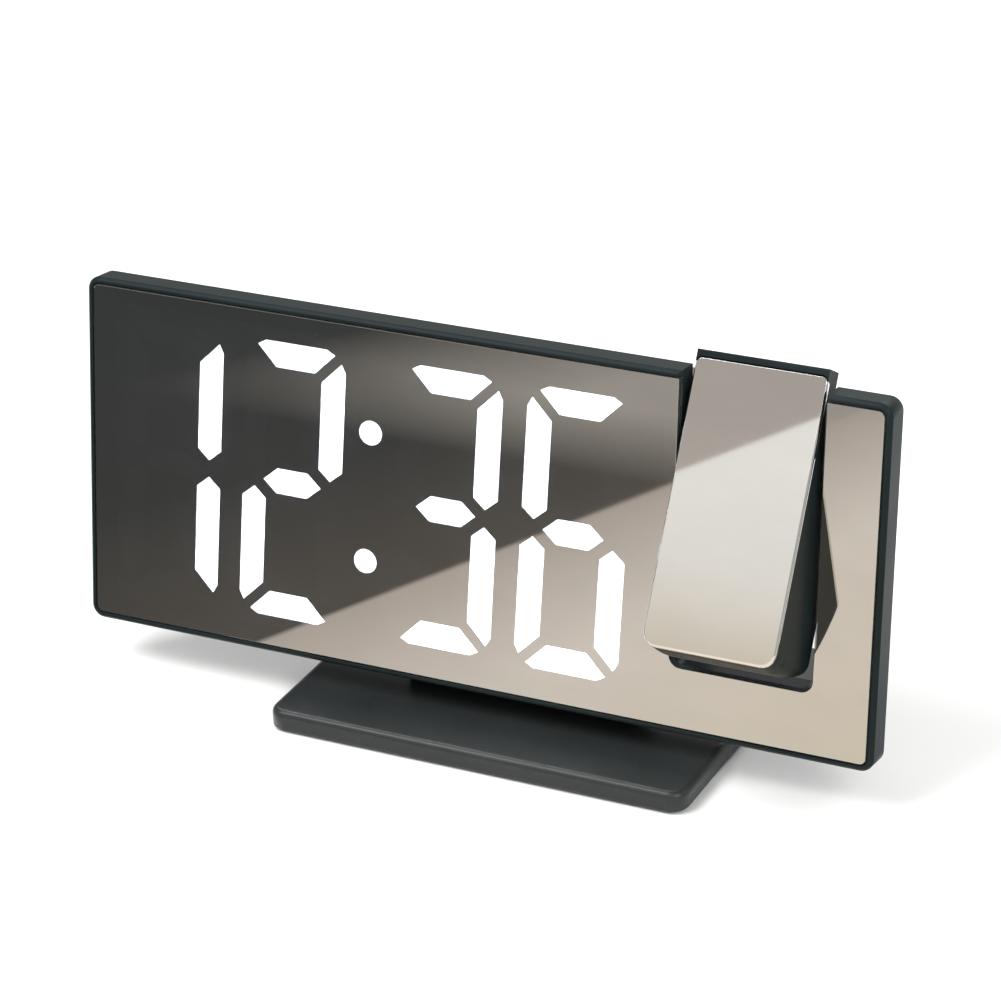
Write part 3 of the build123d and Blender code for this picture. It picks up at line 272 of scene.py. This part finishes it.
wheelPlastic = mouldedPlastic("wheelPlastic", {
    "dark": (0.035, 0.037, 0.04), "light": (0.05, 0.053, 0.056), "cloud": 120, "fleck": 900,
    "dust": 0.03, "roughness": (0.45, 0.6), "grain": 2500, "depth": 0.00001})
barrelPlastic = mouldedPlastic("barrelPlastic", {
    "dark": (0.012, 0.013, 0.014), "light": (0.02, 0.021, 0.022), "cloud": 150, "fleck": 900,
    "dust": 0.01, "roughness": (0.4, 0.55), "grain": 3000, "depth": 0.000006})
insidePlastic = mouldedPlastic("insidePlastic", {
    "dark": (0.01, 0.01, 0.011), "light": (0.016, 0.016, 0.017), "cloud": 60, "fleck": 900,
    "dust": 0.0, "roughness": (0.7, 0.85), "grain": 1500, "depth": 0.00001, "sheen": 0.0})
componentPlastic = mouldedPlastic("componentPlastic", {
    "dark": (0.018, 0.018, 0.019), "light": (0.028, 0.028, 0.03), "cloud": 200, "fleck": 1200,
    "dust": 0.02, "roughness": (0.45, 0.65), "grain": 4000, "depth": 0.00001})
washerPlastic = mouldedPlastic("washerPlastic", {
    "dark": (0.5, 0.49, 0.45), "light": (0.62, 0.61, 0.57), "cloud": 150, "fleck": 900,
    "dust": 0.05, "roughness": (0.4, 0.55), "grain": 2500, "depth": 0.000008})
padRubber = mouldedPlastic("padRubber", {
    "dark": (0.012, 0.012, 0.012), "light": (0.02, 0.02, 0.02), "cloud": 60, "fleck": 500,
    "dust": 0.1, "roughness": (0.75, 0.9), "grain": 900, "depth": 0.00004})
clockMirror = mirrorSheet("clockMirror", {
    "dark": (0.58, 0.585, 0.58), "light": (0.62, 0.62, 0.615), "roughness": (0.015, 0.035),
    "ripple": 0.00003, "clear": 0.25, "tint": (0.92, 0.95, 1.0)})
clearAcrylic = clearSheet("clearAcrylic", {
    "dark": (0.08, 0.09, 0.09), "light": (0.12, 0.13, 0.13), "roughness": (0.15, 0.35),
    "sheen": 0.0, "clear": 0.8, "tint": (1, 1, 1)})
armMirrorSilver = mirrorSheet("armMirrorSilver", {
    "dark": (0.62, 0.625, 0.62), "light": (0.66, 0.66, 0.655), "roughness": (0.015, 0.035),
    "ripple": 0.00002, "clear": 0.0, "tint": (0.92, 0.95, 1.0)})
litWhite = diffuser("litWhite", {
    "dark": (0.93, 0.96, 1.0), "light": (1.0, 1.0, 1.0), "glow": 9, "depth": 0.000005})
# the unlit segments: the lit segments' white diffuser, painted near black as painted shade, the dark they sit in
# behind the mirror
paintedShadeWhite = diffuser("paintedShadeWhite", {
    "dark": (0.02, 0.02, 0.022), "light": (0.03, 0.03, 0.032), "glow": 0, "depth": 0.000005})
diodeWhite = diffuser("diodeWhite", {
    "dark": (0.8, 0.76, 0.5), "light": (0.9, 0.86, 0.6), "glow": 0, "depth": 0.000005})
boardGreen = circuitBoard("boardGreen", {
    "mask": (0.01, 0.08, 0.03), "copper": (0.03, 0.17, 0.06), "tracks": 160, "lean": 98.3,
    "roughness": (0.25, 0.4), "depth": 0.00002})
screwSteel = plainMetal("screwSteel", {
    "dark": (0.3, 0.3, 0.31), "light": (0.42, 0.42, 0.43), "roughness": (0.28, 0.45),
    "grain": 900, "depth": 0.00001})
socketSteel = plainMetal("socketSteel", {
    "dark": (0.55, 0.55, 0.56), "light": (0.68, 0.68, 0.69), "roughness": (0.22, 0.36),
    "grain": 700, "stretch": (1, 6, 6), "depth": 0.000006})
contactBrass = plainMetal("contactBrass", {
    "dark": (0.55, 0.42, 0.2), "light": (0.7, 0.56, 0.3), "roughness": (0.25, 0.4),
    "grain": 700, "depth": 0.000006})
lensGlass = clearGlass("lensGlass", {
    "dark": (0.93, 0.96, 0.99), "light": (0.98, 0.99, 1.0), "roughness": (0.0, 0.02)})
print("finishes made")


# pieces taken from the solids, with the small edge rounding that a mould leaves
def bodyOf(node):
    for body, nodes in frame["record"]["behaviour"]["bodies"].items():
        if node in nodes:
            return body


def roundedCopy(node, name, material, look, backMaterial=None, front=None):
    # edge in millimetres; given a front, the faces that look another way get the back material
    mesh = bpy.data.meshes.new(name)
    mesh.materials.append(material)
    if backMaterial:
        mesh.materials.append(backMaterial)
    shape = bmesh.new()
    shape.from_mesh(frame["nodes"][node].data)
    bmesh.ops.remove_doubles(shape, verts=shape.verts, dist=mergeDistance)
    bmesh.ops.dissolve_limit(shape, angle_limit=flatAngle, verts=shape.verts, edges=shape.edges)
    for face in shape.faces:
        face.smooth = face.calc_area() < broadFace
        face.material_index = 1 if front and face.normal.dot(front) < sameWay else 0
    shape.to_mesh(mesh)
    shape.free()
    piece = bpy.data.objects.new(name, mesh)
    bpy.context.collection.objects.link(piece)
    bevel = piece.modifiers.new("edge", "BEVEL")
    bevel.width = look["edge"] * mm
    bevel.segments = look.get("steps", 2)
    bevel.limit_method = "ANGLE"
    bevel.angle_limit = radians(look.get("angle", 40))
    bevel.miter_outer = "MITER_ARC"
    bevel.harden_normals = True
    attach(piece, bodyOf(node))
    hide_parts(node)
    return piece


baseLook = {"edge": 0.3, "steps": 3, "angle": 50}
roundedCopy("base_plate", "standBase", standPlastic, baseLook)

neckLook = {"edge": 0.2}
roundedCopy("stand_neck", "standNeck", standPlastic, neckLook)

rimLook = {"edge": 0.18, "steps": 3}
roundedCopy("front_shell", "frontRim", blackPlastic, rimLook)

mirrorLook = {"edge": 0.08}
roundedCopy("mirror_panel", "mirrorFace", clockMirror, mirrorLook, clearAcrylic, -faceIn)

rearLook = {"edge": 0.2}
roundedCopy("rear_shell", "rearShell", rearPlastic, rearLook)

doorLook = {"edge": 0.2}
roundedCopy("battery_door", "batteryDoor", rearPlastic, doorLook)

buttonLook = {"edge": 0.15, "steps": 3}
for backButton in backButtons:
    roundedCopy(backButton + "_button", backButton + "Button", buttonPlastic, buttonLook)

snoozeLook = {"edge": 0.15, "steps": 3}
roundedCopy("snooze_button", "snoozeButton", buttonPlastic, snoozeLook)

armLook = {"edge": 0.22, "steps": 3}
roundedCopy("arm_front_shell", "armFront", armPlastic, armLook)
roundedCopy("arm_rear_shell", "armRear", armPlastic, armLook)

armMirrorLook = {"edge": 0.06}
roundedCopy("arm_mirror", "armMirror", armMirrorSilver, armMirrorLook)

wheelLook = {"edge": 0.12}
roundedCopy("focus_wheel", "focusWheel", wheelPlastic, wheelLook)

barrelLook = {"edge": 0.12}
roundedCopy("lens_barrel", "lensBarrel", barrelPlastic, barrelLook)

socketLook = {"edge": 0.12}
roundedCopy("power_socket", "powerSocket", componentPlastic, socketLook)
roundedCopy("charge_socket", "chargeSocket", socketSteel, socketLook)

print("housing pieces made")


# what repeats: ribs, studs and screws, each laid out by a node tree
def newTree(name, sizes):
    tree = bpy.data.node_groups.new(name, "GeometryNodeTree")
    for label, kind in sizes:
        tree.interface.new_socket(name=label, in_out="INPUT", socket_type="NodeSocket" + kind)
    tree.interface.new_socket(name="Geometry", in_out="OUTPUT", socket_type="NodeSocketGeometry")
    return tree, tree.nodes.new("NodeGroupInput").outputs


def addNode(tree, kind, links=None, **settings):
    node = tree.nodes.new(kind)
    for label, value in settings.items():
        setattr(node, label, value)
    for socket, value in (links or {}).items():
        if isinstance(value, bpy.types.NodeSocket):
            tree.links.new(value, node.inputs[socket])
        else:
            node.inputs[socket].default_value = value
    return node


def endTree(tree, geometry, material):
    whole = addNode(tree, "GeometryNodeRealizeInstances", {"Geometry": geometry})
    dressed = addNode(tree, "GeometryNodeSetMaterial", {"Geometry": whole.outputs["Geometry"]})
    dressed.inputs["Material"].default_value = material
    addNode(tree, "NodeGroupOutput", {"Geometry": dressed.outputs["Geometry"]})


def grow(name, tree, sizes, body, points=()):
    # evaluate a tree once, and keep what it made as a plain mesh on one body
    start = bpy.data.meshes.new(name)
    start.from_pydata(points, [], [])
    piece = bpy.data.objects.new(name, start)
    bpy.context.collection.objects.link(piece)
    modifier = piece.modifiers.new("grow", "NODES")
    modifier.node_group = tree
    for socket in tree.interface.items_tree:
        if socket.in_out == "INPUT" and socket.name in sizes:
            modifier[socket.identifier] = sizes[socket.name]
    seen = piece.evaluated_get(bpy.context.evaluated_depsgraph_get())
    mesh = bpy.data.meshes.new_from_object(seen)
    piece.modifiers.remove(modifier)
    piece.data = mesh
    shape = bmesh.new()
    shape.from_mesh(mesh)
    bmesh.ops.recalc_face_normals(shape, faces=shape.faces)
    shape.to_mesh(mesh)
    shape.free()
    mesh.shade_smooth()
    mesh.set_sharp_from_angle(angle=creaseAngle)
    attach(piece, body)
    return piece


def flatPart(node, direction):
    # middle and normal of a solid's highest flat part that looks a given way
    mesh = frame["nodes"][node].data
    facing = [face for face in mesh.polygons if face.normal.dot(direction) > sameWay]
    normal = max(facing, key=lambda face: face.area).normal
    height = max(face.center.dot(normal) for face in facing if face.normal.dot(normal) > parallel)
    chosen = [face for face in facing if abs(face.center.dot(normal) - height) < sameLevel]
    area = sum(face.area for face in chosen)
    middle = sum((face.center * face.area for face in chosen), Vector()) / area
    return middle, normal.copy()


def ribTree(name, material):
    # half-round ribs side by side between two places
    tree, given = newTree(name, [
        ("Rib count", "Int"), ("Rib radius", "Float"), ("Rib half", "Vector"), ("First rib", "Vector"),
        ("Last rib", "Vector")])
    places = addNode(tree, "GeometryNodeMeshLine", {
        "Count": given["Rib count"], "Start Location": given["First rib"], "Offset": given["Last rib"],
    }, mode="END_POINTS")
    other = addNode(tree, "ShaderNodeVectorMath", {0: given["Rib half"], "Scale": -1.0}, operation="SCALE")
    spine = addNode(tree, "GeometryNodeCurvePrimitiveLine", {
        "Start": given["Rib half"], "End": other.outputs[0]})
    ring = addNode(tree, "GeometryNodeCurvePrimitiveCircle", {
        "Resolution": 12, "Radius": given["Rib radius"]})
    rib = addNode(tree, "GeometryNodeCurveToMesh", {
        "Curve": spine.outputs["Curve"], "Profile Curve": ring.outputs["Curve"], "Fill Caps": True})
    ribs = addNode(tree, "GeometryNodeInstanceOnPoints", {
        "Points": places.outputs["Mesh"], "Instance": rib.outputs["Mesh"]})
    endTree(tree, ribs.outputs["Instances"], material)
    return tree


def layRibs(tree, node, name, direction, look):
    # radius, height above the face, length and spread in millimetres
    middle, normal = flatPart(node, direction)
    along = normal.cross(toRight).normalized()
    base = middle + normal * (look["height"] - look["radius"]) * mm
    half = toRight * look["spread"] / 2 * mm
    grow(name, tree, {
        "Rib count": look["count"], "Rib radius": look["radius"] * mm,
        "Rib half": along * look["length"] / 2 * mm, "First rib": base - half, "Last rib": base + half,
    }, bodyOf(node))


buttonRibs = ribTree("buttonRibs", buttonPlastic)
snoozeRibLook = {"count": 17, "radius": 0.35, "height": 0.16, "length": 4.4, "spread": 35.0}
layRibs(buttonRibs, "snooze_button", "snoozeRibs", faceUp, snoozeRibLook)
keyRibLook = {"count": 3, "radius": 0.3, "height": 0.22, "length": 3.2, "spread": 2.6}
for backButton in backButtons:
    layRibs(buttonRibs, backButton + "_button", backButton + "Ribs", faceIn, keyRibLook)


def studTree(name, material):
    # rows of round studs
    tree, given = newTree(name, [
        ("Width", "Float"), ("Depth", "Float"), ("Columns", "Int"), ("Rows", "Int"), ("Stud radius", "Float"),
        ("Stud height", "Float")])
    places = addNode(tree, "GeometryNodeMeshGrid", {
        "Size X": given["Width"], "Size Y": given["Depth"], "Vertices X": given["Columns"],
        "Vertices Y": given["Rows"]})
    stud = addNode(tree, "GeometryNodeMeshCone", {
        "Vertices": 20, "Radius Bottom": given["Stud radius"], "Radius Top": given["Stud radius"],
        "Depth": given["Stud height"]})
    studs = addNode(tree, "GeometryNodeInstanceOnPoints", {
        "Points": places.outputs["Mesh"], "Instance": stud.outputs["Mesh"]})
    endTree(tree, studs.outputs["Instances"], material)
    return tree


# the pad's sole is raised by the groove's depth, so that it stands on its studs
padLook = {"edge": 0.25, "sole": 0.05, "groove": 0.35, "columns": 21, "rows": 11, "margin": 4.0, "stud": 1.3}
standPad = roundedCopy("base_pad", "standPad", padRubber, padLook)
for corner in standPad.data.vertices:
    if corner.co.z < padLook["sole"] * mm:
        corner.co.z = padLook["groove"] * mm
padLow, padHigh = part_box("base_pad")
grow("padStuds", studTree("padStudRows", padRubber), {
    "Width": padHigh[0] - padLow[0] - 2 * padLook["margin"] * mm,
    "Depth": padHigh[1] - padLow[1] - 2 * padLook["margin"] * mm,
    "Columns": padLook["columns"], "Rows": padLook["rows"], "Stud radius": padLook["stud"] * mm,
    "Stud height": 2 * padLook["groove"] * mm}, "clock_body")


def screwShape(radius, height, look):
    # a domed head with a cross recess, its underside at the origin
    shape = bmesh.new()
    corners = [shape.verts.new((across * radius, 0, up * height)) for across, up in look["outline"]]
    edges = [shape.edges.new(pair) for pair in zip(corners, corners[1:])]
    bmesh.ops.spin(shape, geom=corners + edges, axis=(0, 0, 1), cent=(0, 0, 0), angle=radians(360), steps=32,
                   use_merge=True)
    bmesh.ops.remove_doubles(shape, verts=shape.verts, dist=mergeDistance)
    bmesh.ops.recalc_face_normals(shape, faces=shape.faces)
    head = bpy.data.objects.new("screwHead", bpy.data.meshes.new("screwHead"))
    shape.to_mesh(head.data)
    shape.free()
    bpy.context.collection.objects.link(head)
    cutters = []
    for turn in (0, 90):
        bladeLength = look["cross"] * radius
        blade = bmesh.new()
        bmesh.ops.create_cube(blade, size=1)
        bmesh.ops.scale(blade, verts=blade.verts, vec=(bladeLength, bladeLength * look["blade"], height))
        bmesh.ops.translate(blade, verts=blade.verts, vec=(0, 0, height))
        bmesh.ops.rotate(blade, verts=blade.verts, matrix=Matrix.Rotation(radians(turn), 3, "Z"))
        cutter = bpy.data.objects.new("screwCross", bpy.data.meshes.new("screwCross"))
        blade.to_mesh(cutter.data)
        blade.free()
        bpy.context.collection.objects.link(cutter)
        cut = head.modifiers.new("cross", "BOOLEAN")
        cut.object = cutter
        cut.solver = "EXACT"
        cutters.append(cutter)
    mesh = bpy.data.meshes.new_from_object(head.evaluated_get(bpy.context.evaluated_depsgraph_get()))
    head.modifiers.clear()
    head.data = mesh
    for cutter in cutters:
        bpy.data.objects.remove(cutter)
    return head


def screwTree(name, material, head):
    # a head on each point, and a thread wound down its shank
    tree, given = newTree(name, [
        ("Places", "Geometry"), ("Turn", "Vector"), ("Shank radius", "Float"), ("Shank length", "Float"),
        ("Pitches", "Float"), ("Thread radius", "Float")])
    shapeOf = addNode(tree, "GeometryNodeObjectInfo")
    shapeOf.inputs["Object"].default_value = head
    down = addNode(tree, "ShaderNodeMath", {0: given["Shank length"], 1: -1.0}, operation="MULTIPLY")
    middle = addNode(tree, "ShaderNodeMath", {0: given["Shank length"], 1: -0.5}, operation="MULTIPLY")
    coil = addNode(tree, "GeometryNodeCurveSpiral", {
        "Resolution": 14, "Rotations": given["Pitches"], "Start Radius": given["Shank radius"],
        "End Radius": given["Shank radius"], "Height": down.outputs["Value"]})
    ridge = addNode(tree, "GeometryNodeCurvePrimitiveCircle", {
        "Resolution": 3, "Radius": given["Thread radius"]})
    thread = addNode(tree, "GeometryNodeCurveToMesh", {
        "Curve": coil.outputs["Curve"], "Profile Curve": ridge.outputs["Curve"], "Fill Caps": True})
    shank = addNode(tree, "GeometryNodeMeshCylinder", {
        "Vertices": 24, "Radius": given["Shank radius"], "Depth": given["Shank length"]})
    drop = addNode(tree, "ShaderNodeCombineXYZ", {"Z": middle.outputs["Value"]})
    lowered = addNode(tree, "GeometryNodeTransform", {
        "Geometry": shank.outputs["Mesh"], "Translation": drop.outputs["Vector"]})
    joined = addNode(tree, "GeometryNodeJoinGeometry")
    for part in (shapeOf.outputs["Geometry"], thread.outputs["Mesh"], lowered.outputs["Geometry"]):
        tree.links.new(part, joined.inputs["Geometry"])
    turned = addNode(tree, "FunctionNodeEulerToRotation", {"Euler": given["Turn"]})
    screws = addNode(tree, "GeometryNodeInstanceOnPoints", {
        "Points": given["Places"], "Instance": joined.outputs["Geometry"],
        "Rotation": turned.outputs["Rotation"]})
    endTree(tree, screws.outputs["Instances"], material)
    return tree


def islands(node):
    # the separate solids of a node, as lists of their corners; a dictionary keeps their order, a set doesn't
    shape = bmesh.new()
    shape.from_mesh(frame["nodes"][node].data)
    bmesh.ops.remove_doubles(shape, verts=shape.verts, dist=mergeDistance)
    left, found = dict.fromkeys(shape.verts), []
    while left:
        start, _ = left.popitem()
        edge, reached = [start], []
        while edge:
            corner = edge.pop()
            reached.append(corner.co.copy())
            neighbours = [link.other_vert(corner) for link in corner.link_edges]
            fresh = [neighbour for neighbour in neighbours if neighbour in left]
            for neighbour in fresh:
                del left[neighbour]
            edge.extend(fresh)
        found.append(reached)
    shape.free()
    return found


def layScrews(node, name, outward, look):
    # measure the solids' screws, which are alike in a node, and put a finer one on each place
    places = []
    for corners in islands(node):
        heights = [outward.dot(corner) for corner in corners]
        top, tip = max(heights), min(heights)
        crown = [corner for corner, height in zip(corners, heights) if height > top - sameLevel]
        axis = sum(crown, Vector()) / len(crown)
        reached = [(corner - axis - outward * outward.dot(corner - axis)).length for corner in corners]
        radius = max(reached)
        under = min(height for height, far in zip(heights, reached) if far > look["headRim"] * radius)
        shank = max(far for height, far in zip(heights, reached) if height < tip + sameLevel)
        places.append(axis - outward * (top - under))
    head = screwShape(radius, top - under, look)
    turn = outward.to_track_quat("Z", "Y").to_euler()
    tree = screwTree(name + "Tree", screwSteel, head)
    piece = grow(name, tree, {
        "Turn": tuple(turn), "Shank radius": shank - look["thread"] * mm, "Shank length": under - tip,
        "Pitches": (under - tip) / (look["pitch"] * mm), "Thread radius": look["thread"] * mm},
        bodyOf(node), places)
    bpy.data.objects.remove(head)
    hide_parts(node)


# pitch and thread in millimetres, the rest as shares of the head's radius and height
screwLook = {
    "outline": [(0, 1), (0.45, 0.97), (0.75, 0.84), (0.93, 0.6), (1, 0.3), (1, 0), (0, 0)],
    "headRim": 0.95, "cross": 1.25, "blade": 0.26, "pitch": 0.9, "thread": 0.18,
}
layScrews("case_screws", "caseScrews", faceIn, screwLook)
layScrews("door_screw", "doorScrew", faceIn, screwLook)
layScrews("arm_screws", "armScrews", armIn, screwLook)
layScrews("stand_screws", "standScrews", Vector((0, 0, -1)), screwLook)
print("ribs, studs and screws made")

# the solids that stay as they are
solidFinishes = {
    "segment_block": insidePlastic, "lit_segments": litWhite, "dark_segments": paintedShadeWhite,
    "display_board": boardGreen, "display_diodes": diodeWhite, "main_board": boardGreen,
    "board_headers": componentPlastic, "board_chips": componentPlastic, "board_capacitors": socketSteel,
    "tact_switches": componentPlastic, "snooze_board": boardGreen, "snooze_switch": componentPlastic,
    "power_pin": socketSteel, "charge_tongue": componentPlastic, "buzzer": componentPlastic,
    "cell_contacts": contactBrass, "backup_cell": socketSteel,
    "pivot_pin_left": screwSteel, "pivot_pin_right": screwSteel,
    "friction_washer": washerPlastic, "spacer_washer": washerPlastic, "barrel_guide": insidePlastic,
    "slide_carrier": insidePlastic, "projected_slide": lensGlass, "condenser_lens": lensGlass,
    "lamp_board": boardGreen, "projector_lamp": diodeWhite, "projection_lens": lensGlass,
}
for node, material in solidFinishes.items():
    mesh = frame["nodes"][node].data
    mesh.materials.clear()
    mesh.materials.append(material)
print("inner pieces finished")

# light, floor and camera, in metres
worldLook = {"colour": (1, 1, 1), "strength": 0.55}
world = bpy.data.worlds.new("studio")
bpy.context.scene.world = world
world.use_nodes = True
background = world.node_tree.nodes["Background"]
background.inputs["Color"].default_value = (*worldLook["colour"], 1)
background.inputs["Strength"].default_value = worldLook["strength"]


def flatSheet(name, corners, material):
    mesh = bpy.data.meshes.new(name)
    mesh.from_pydata(corners, [], [tuple(range(len(corners)))])
    mesh.materials.append(material)
    sheet = bpy.data.objects.new(name, mesh)
    bpy.context.collection.objects.link(sheet)
    return sheet


floorLook = {"size": 4.0, "colour": (0.88, 0.88, 0.87), "roughness": 0.7}
floorPaint, _, shader, _ = startMaterial("floorPaint")
shader.inputs["Base Color"].default_value = (*floorLook["colour"], 1)
shader.inputs["Roughness"].default_value = floorLook["roughness"]
half = floorLook["size"] / 2
flatSheet("floor", [(-half, -half, 0), (half, -half, 0), (half, half, 0), (-half, half, 0)], floorPaint)


def reach(tree, coords, start, direction, low, high):
    # 0 to 1 between two distances from a point, along a direction
    offset = tree.nodes.new("ShaderNodeVectorMath")
    offset.operation = "SUBTRACT"
    offset.inputs[1].default_value = start
    tree.links.new(coords, offset.inputs[0])
    dot = tree.nodes.new("ShaderNodeVectorMath")
    dot.operation = "DOT_PRODUCT"
    dot.inputs[1].default_value = direction
    tree.links.new(offset.outputs["Vector"], dot.inputs[0])
    return addRange(tree, dot.outputs["Value"], 0.0, 1.0, low, high)


def blendColours(tree, factor, first, second):
    mix = tree.nodes.new("ShaderNodeMix")
    mix.data_type = "RGBA"
    for socket, value in (("Factor", factor), ("A", first), ("B", second)):
        if isinstance(value, tuple):
            mix.inputs[socket].default_value = (*value, 1)
        else:
            tree.links.new(value, mix.inputs[socket])
    return mix.outputs["Result"]


def reflectedCard(name, look, paint):
    # a lit card that only glossy reflections see, and only from its front side
    material = bpy.data.materials.new(name)
    material.use_nodes = True
    tree = material.node_tree
    tree.nodes.clear()
    coords = tree.nodes.new("ShaderNodeTexCoord").outputs["Object"]
    glow = tree.nodes.new("ShaderNodeEmission")
    tree.links.new(paint(tree, coords, look), glow.inputs["Color"])
    clear = tree.nodes.new("ShaderNodeBsdfTransparent")
    sides = tree.nodes.new("ShaderNodeMixShader")
    tree.links.new(tree.nodes.new("ShaderNodeNewGeometry").outputs["Backfacing"], sides.inputs["Fac"])
    tree.links.new(glow.outputs["Emission"], sides.inputs[1])
    tree.links.new(clear.outputs["BSDF"], sides.inputs[2])
    output = tree.nodes.new("ShaderNodeOutputMaterial")
    tree.links.new(sides.outputs["Shader"], output.inputs["Surface"])
    card = flatSheet(name, look["corners"], material)
    card.visible_camera = False
    card.visible_diffuse = False
    card.visible_shadow = False
    card.visible_transmission = False


def paintTable(tree, coords, look):
    # left of a straight edge dim, and lighter again far out; right of it warm and light
    start, end = Vector(look["edge"][0]), Vector(look["edge"][1])
    along = (end - start).normalized()
    across = Vector((-along.y, along.x, 0))
    side = reach(tree, coords, start, across, -look["soft"], look["soft"])
    sideways = reach(tree, coords, (0, 0, 0), toRight, *look["sideReach"])
    dim = addRamp(tree, sideways, look["dim"])
    light = addRamp(tree, sideways, look["light"])
    far = tree.nodes.new("ShaderNodeMath")
    far.operation = "MULTIPLY"
    tree.links.new(reach(tree, coords, (0, 0, 0), (0, -1, 0), *look["farReach"]), far.inputs[0])
    tree.links.new(reach(tree, coords, (0, 0, 0), toRight, *look["farSide"]), far.inputs[1])
    dim = blendColours(tree, far.outputs["Value"], dim, look["far"])
    return blendColours(tree, side, dim, light)


tableCard = {
    "corners": [(-0.8, -1.2, 0.0058), (0.45, -1.2, 0.0058), (0.45, -0.0148, 0.0058), (-0.8, -0.0148, 0.0058)],
    "edge": [(-0.0725, -0.02, 0), (-0.079, -0.3, 0)], "soft": 0.0012, "sideReach": (-0.35, 0.1),
    "dim": [(0.0, (0.08, 0.085, 0.085)), (0.4, (0.09, 0.09, 0.085)), (0.6, (0.17, 0.15, 0.13))],
    "light": [(0.55, (0.62, 0.53, 0.46)), (0.75, (1.3, 1.16, 1.02)), (1.0, (1.32, 1.15, 0.9))],
    "far": (0.66, 0.6, 0.53), "farReach": (0.29, 0.4), "farSide": (-0.27, -0.16),
}
reflectedCard("tableCard", tableCard, paintTable)


def paintWall(tree, coords, look):
    # a darker upper part and a lighter lower part, on either side of a slanting edge
    start, end = Vector(look["edge"][0]), Vector(look["edge"][1])
    along = (end - start).normalized()
    across = Vector((along.z, 0, -along.x))
    side = reach(tree, coords, start, across, -look["soft"], look["soft"])
    upwards = reach(tree, coords, (0, 0, 0), (0, 0, 1), *look["upReach"])
    upper = addRamp(tree, upwards, look["upper"])
    lower = addRamp(tree, upwards, look["lower"])
    return blendColours(tree, side, upper, lower)


wallCard = {
    "corners": [(-0.5, -0.3, 0.08), (-0.5, -0.3, 0.7), (0.4, -0.3, 0.7), (0.4, -0.3, 0.08)],
    "edge": [(-0.103, -0.3, 0.266), (-0.066, -0.3, 0.295)], "soft": 0.0006, "upReach": (0.2, 0.33),
    "upper": [(0.4, (0.62, 0.56, 0.5)), (1.0, (0.56, 0.5, 0.45))],
    "lower": [(0.05, (0.9, 0.8, 0.66)), (0.3, (1.12, 1.07, 1.0)), (0.6, (1.15, 1.12, 1.05))],
}
reflectedCard("wallCard", wallCard, paintWall)


def softbox(name, look):
    light = bpy.data.lights.new(name, "AREA")
    light.shape = "RECTANGLE"
    light.size, light.size_y = look["size"]
    light.energy = look["power"]
    lamp = bpy.data.objects.new(name, light)
    lamp.location = look["place"]
    sight = Vector(look["aim"]) - Vector(look["place"])
    lamp.rotation_euler = sight.to_track_quat("-Z", "Y").to_euler()
    bpy.context.collection.objects.link(lamp)


keyLook = {"place": (-0.5, -0.5, 1.1), "aim": (0, 0, 0.05), "size": (0.7, 0.7), "power": 16}
softbox("keyLight", keyLook)
fillLook = {"place": (0.9, -0.6, 0.8), "aim": (0, 0, 0.05), "size": (0.6, 0.6), "power": 8}
softbox("fillLight", fillLook)
backLook = {"place": (0.1, 1.0, 0.8), "aim": (0, 0, 0.05), "size": (0.9, 0.4), "power": 8}
softbox("backLight", backLook)

cameraLook = {
    "place": (0.3375, -0.6611, 0.4211), "aim": (-0.0098, 0.0115, 0.0455), "roll": 2.7,
    "lens": 138.5, "sensor": 36,
}
camera = bpy.data.objects.new("camera", bpy.data.cameras.new("camera"))
camera.data.lens = cameraLook["lens"]
camera.data.sensor_width = cameraLook["sensor"]
camera.location = cameraLook["place"]
sight = Vector(cameraLook["aim"]) - camera.location
turn = Quaternion(sight.normalized(), radians(cameraLook["roll"]))
camera.rotation_mode = "QUATERNION"
camera.rotation_quaternion = turn @ sight.to_track_quat("-Z", "Y")
bpy.context.collection.objects.link(camera)
bpy.context.scene.camera = camera
bpy.context.scene.view_settings.view_transform = "Standard"
print("studio set")
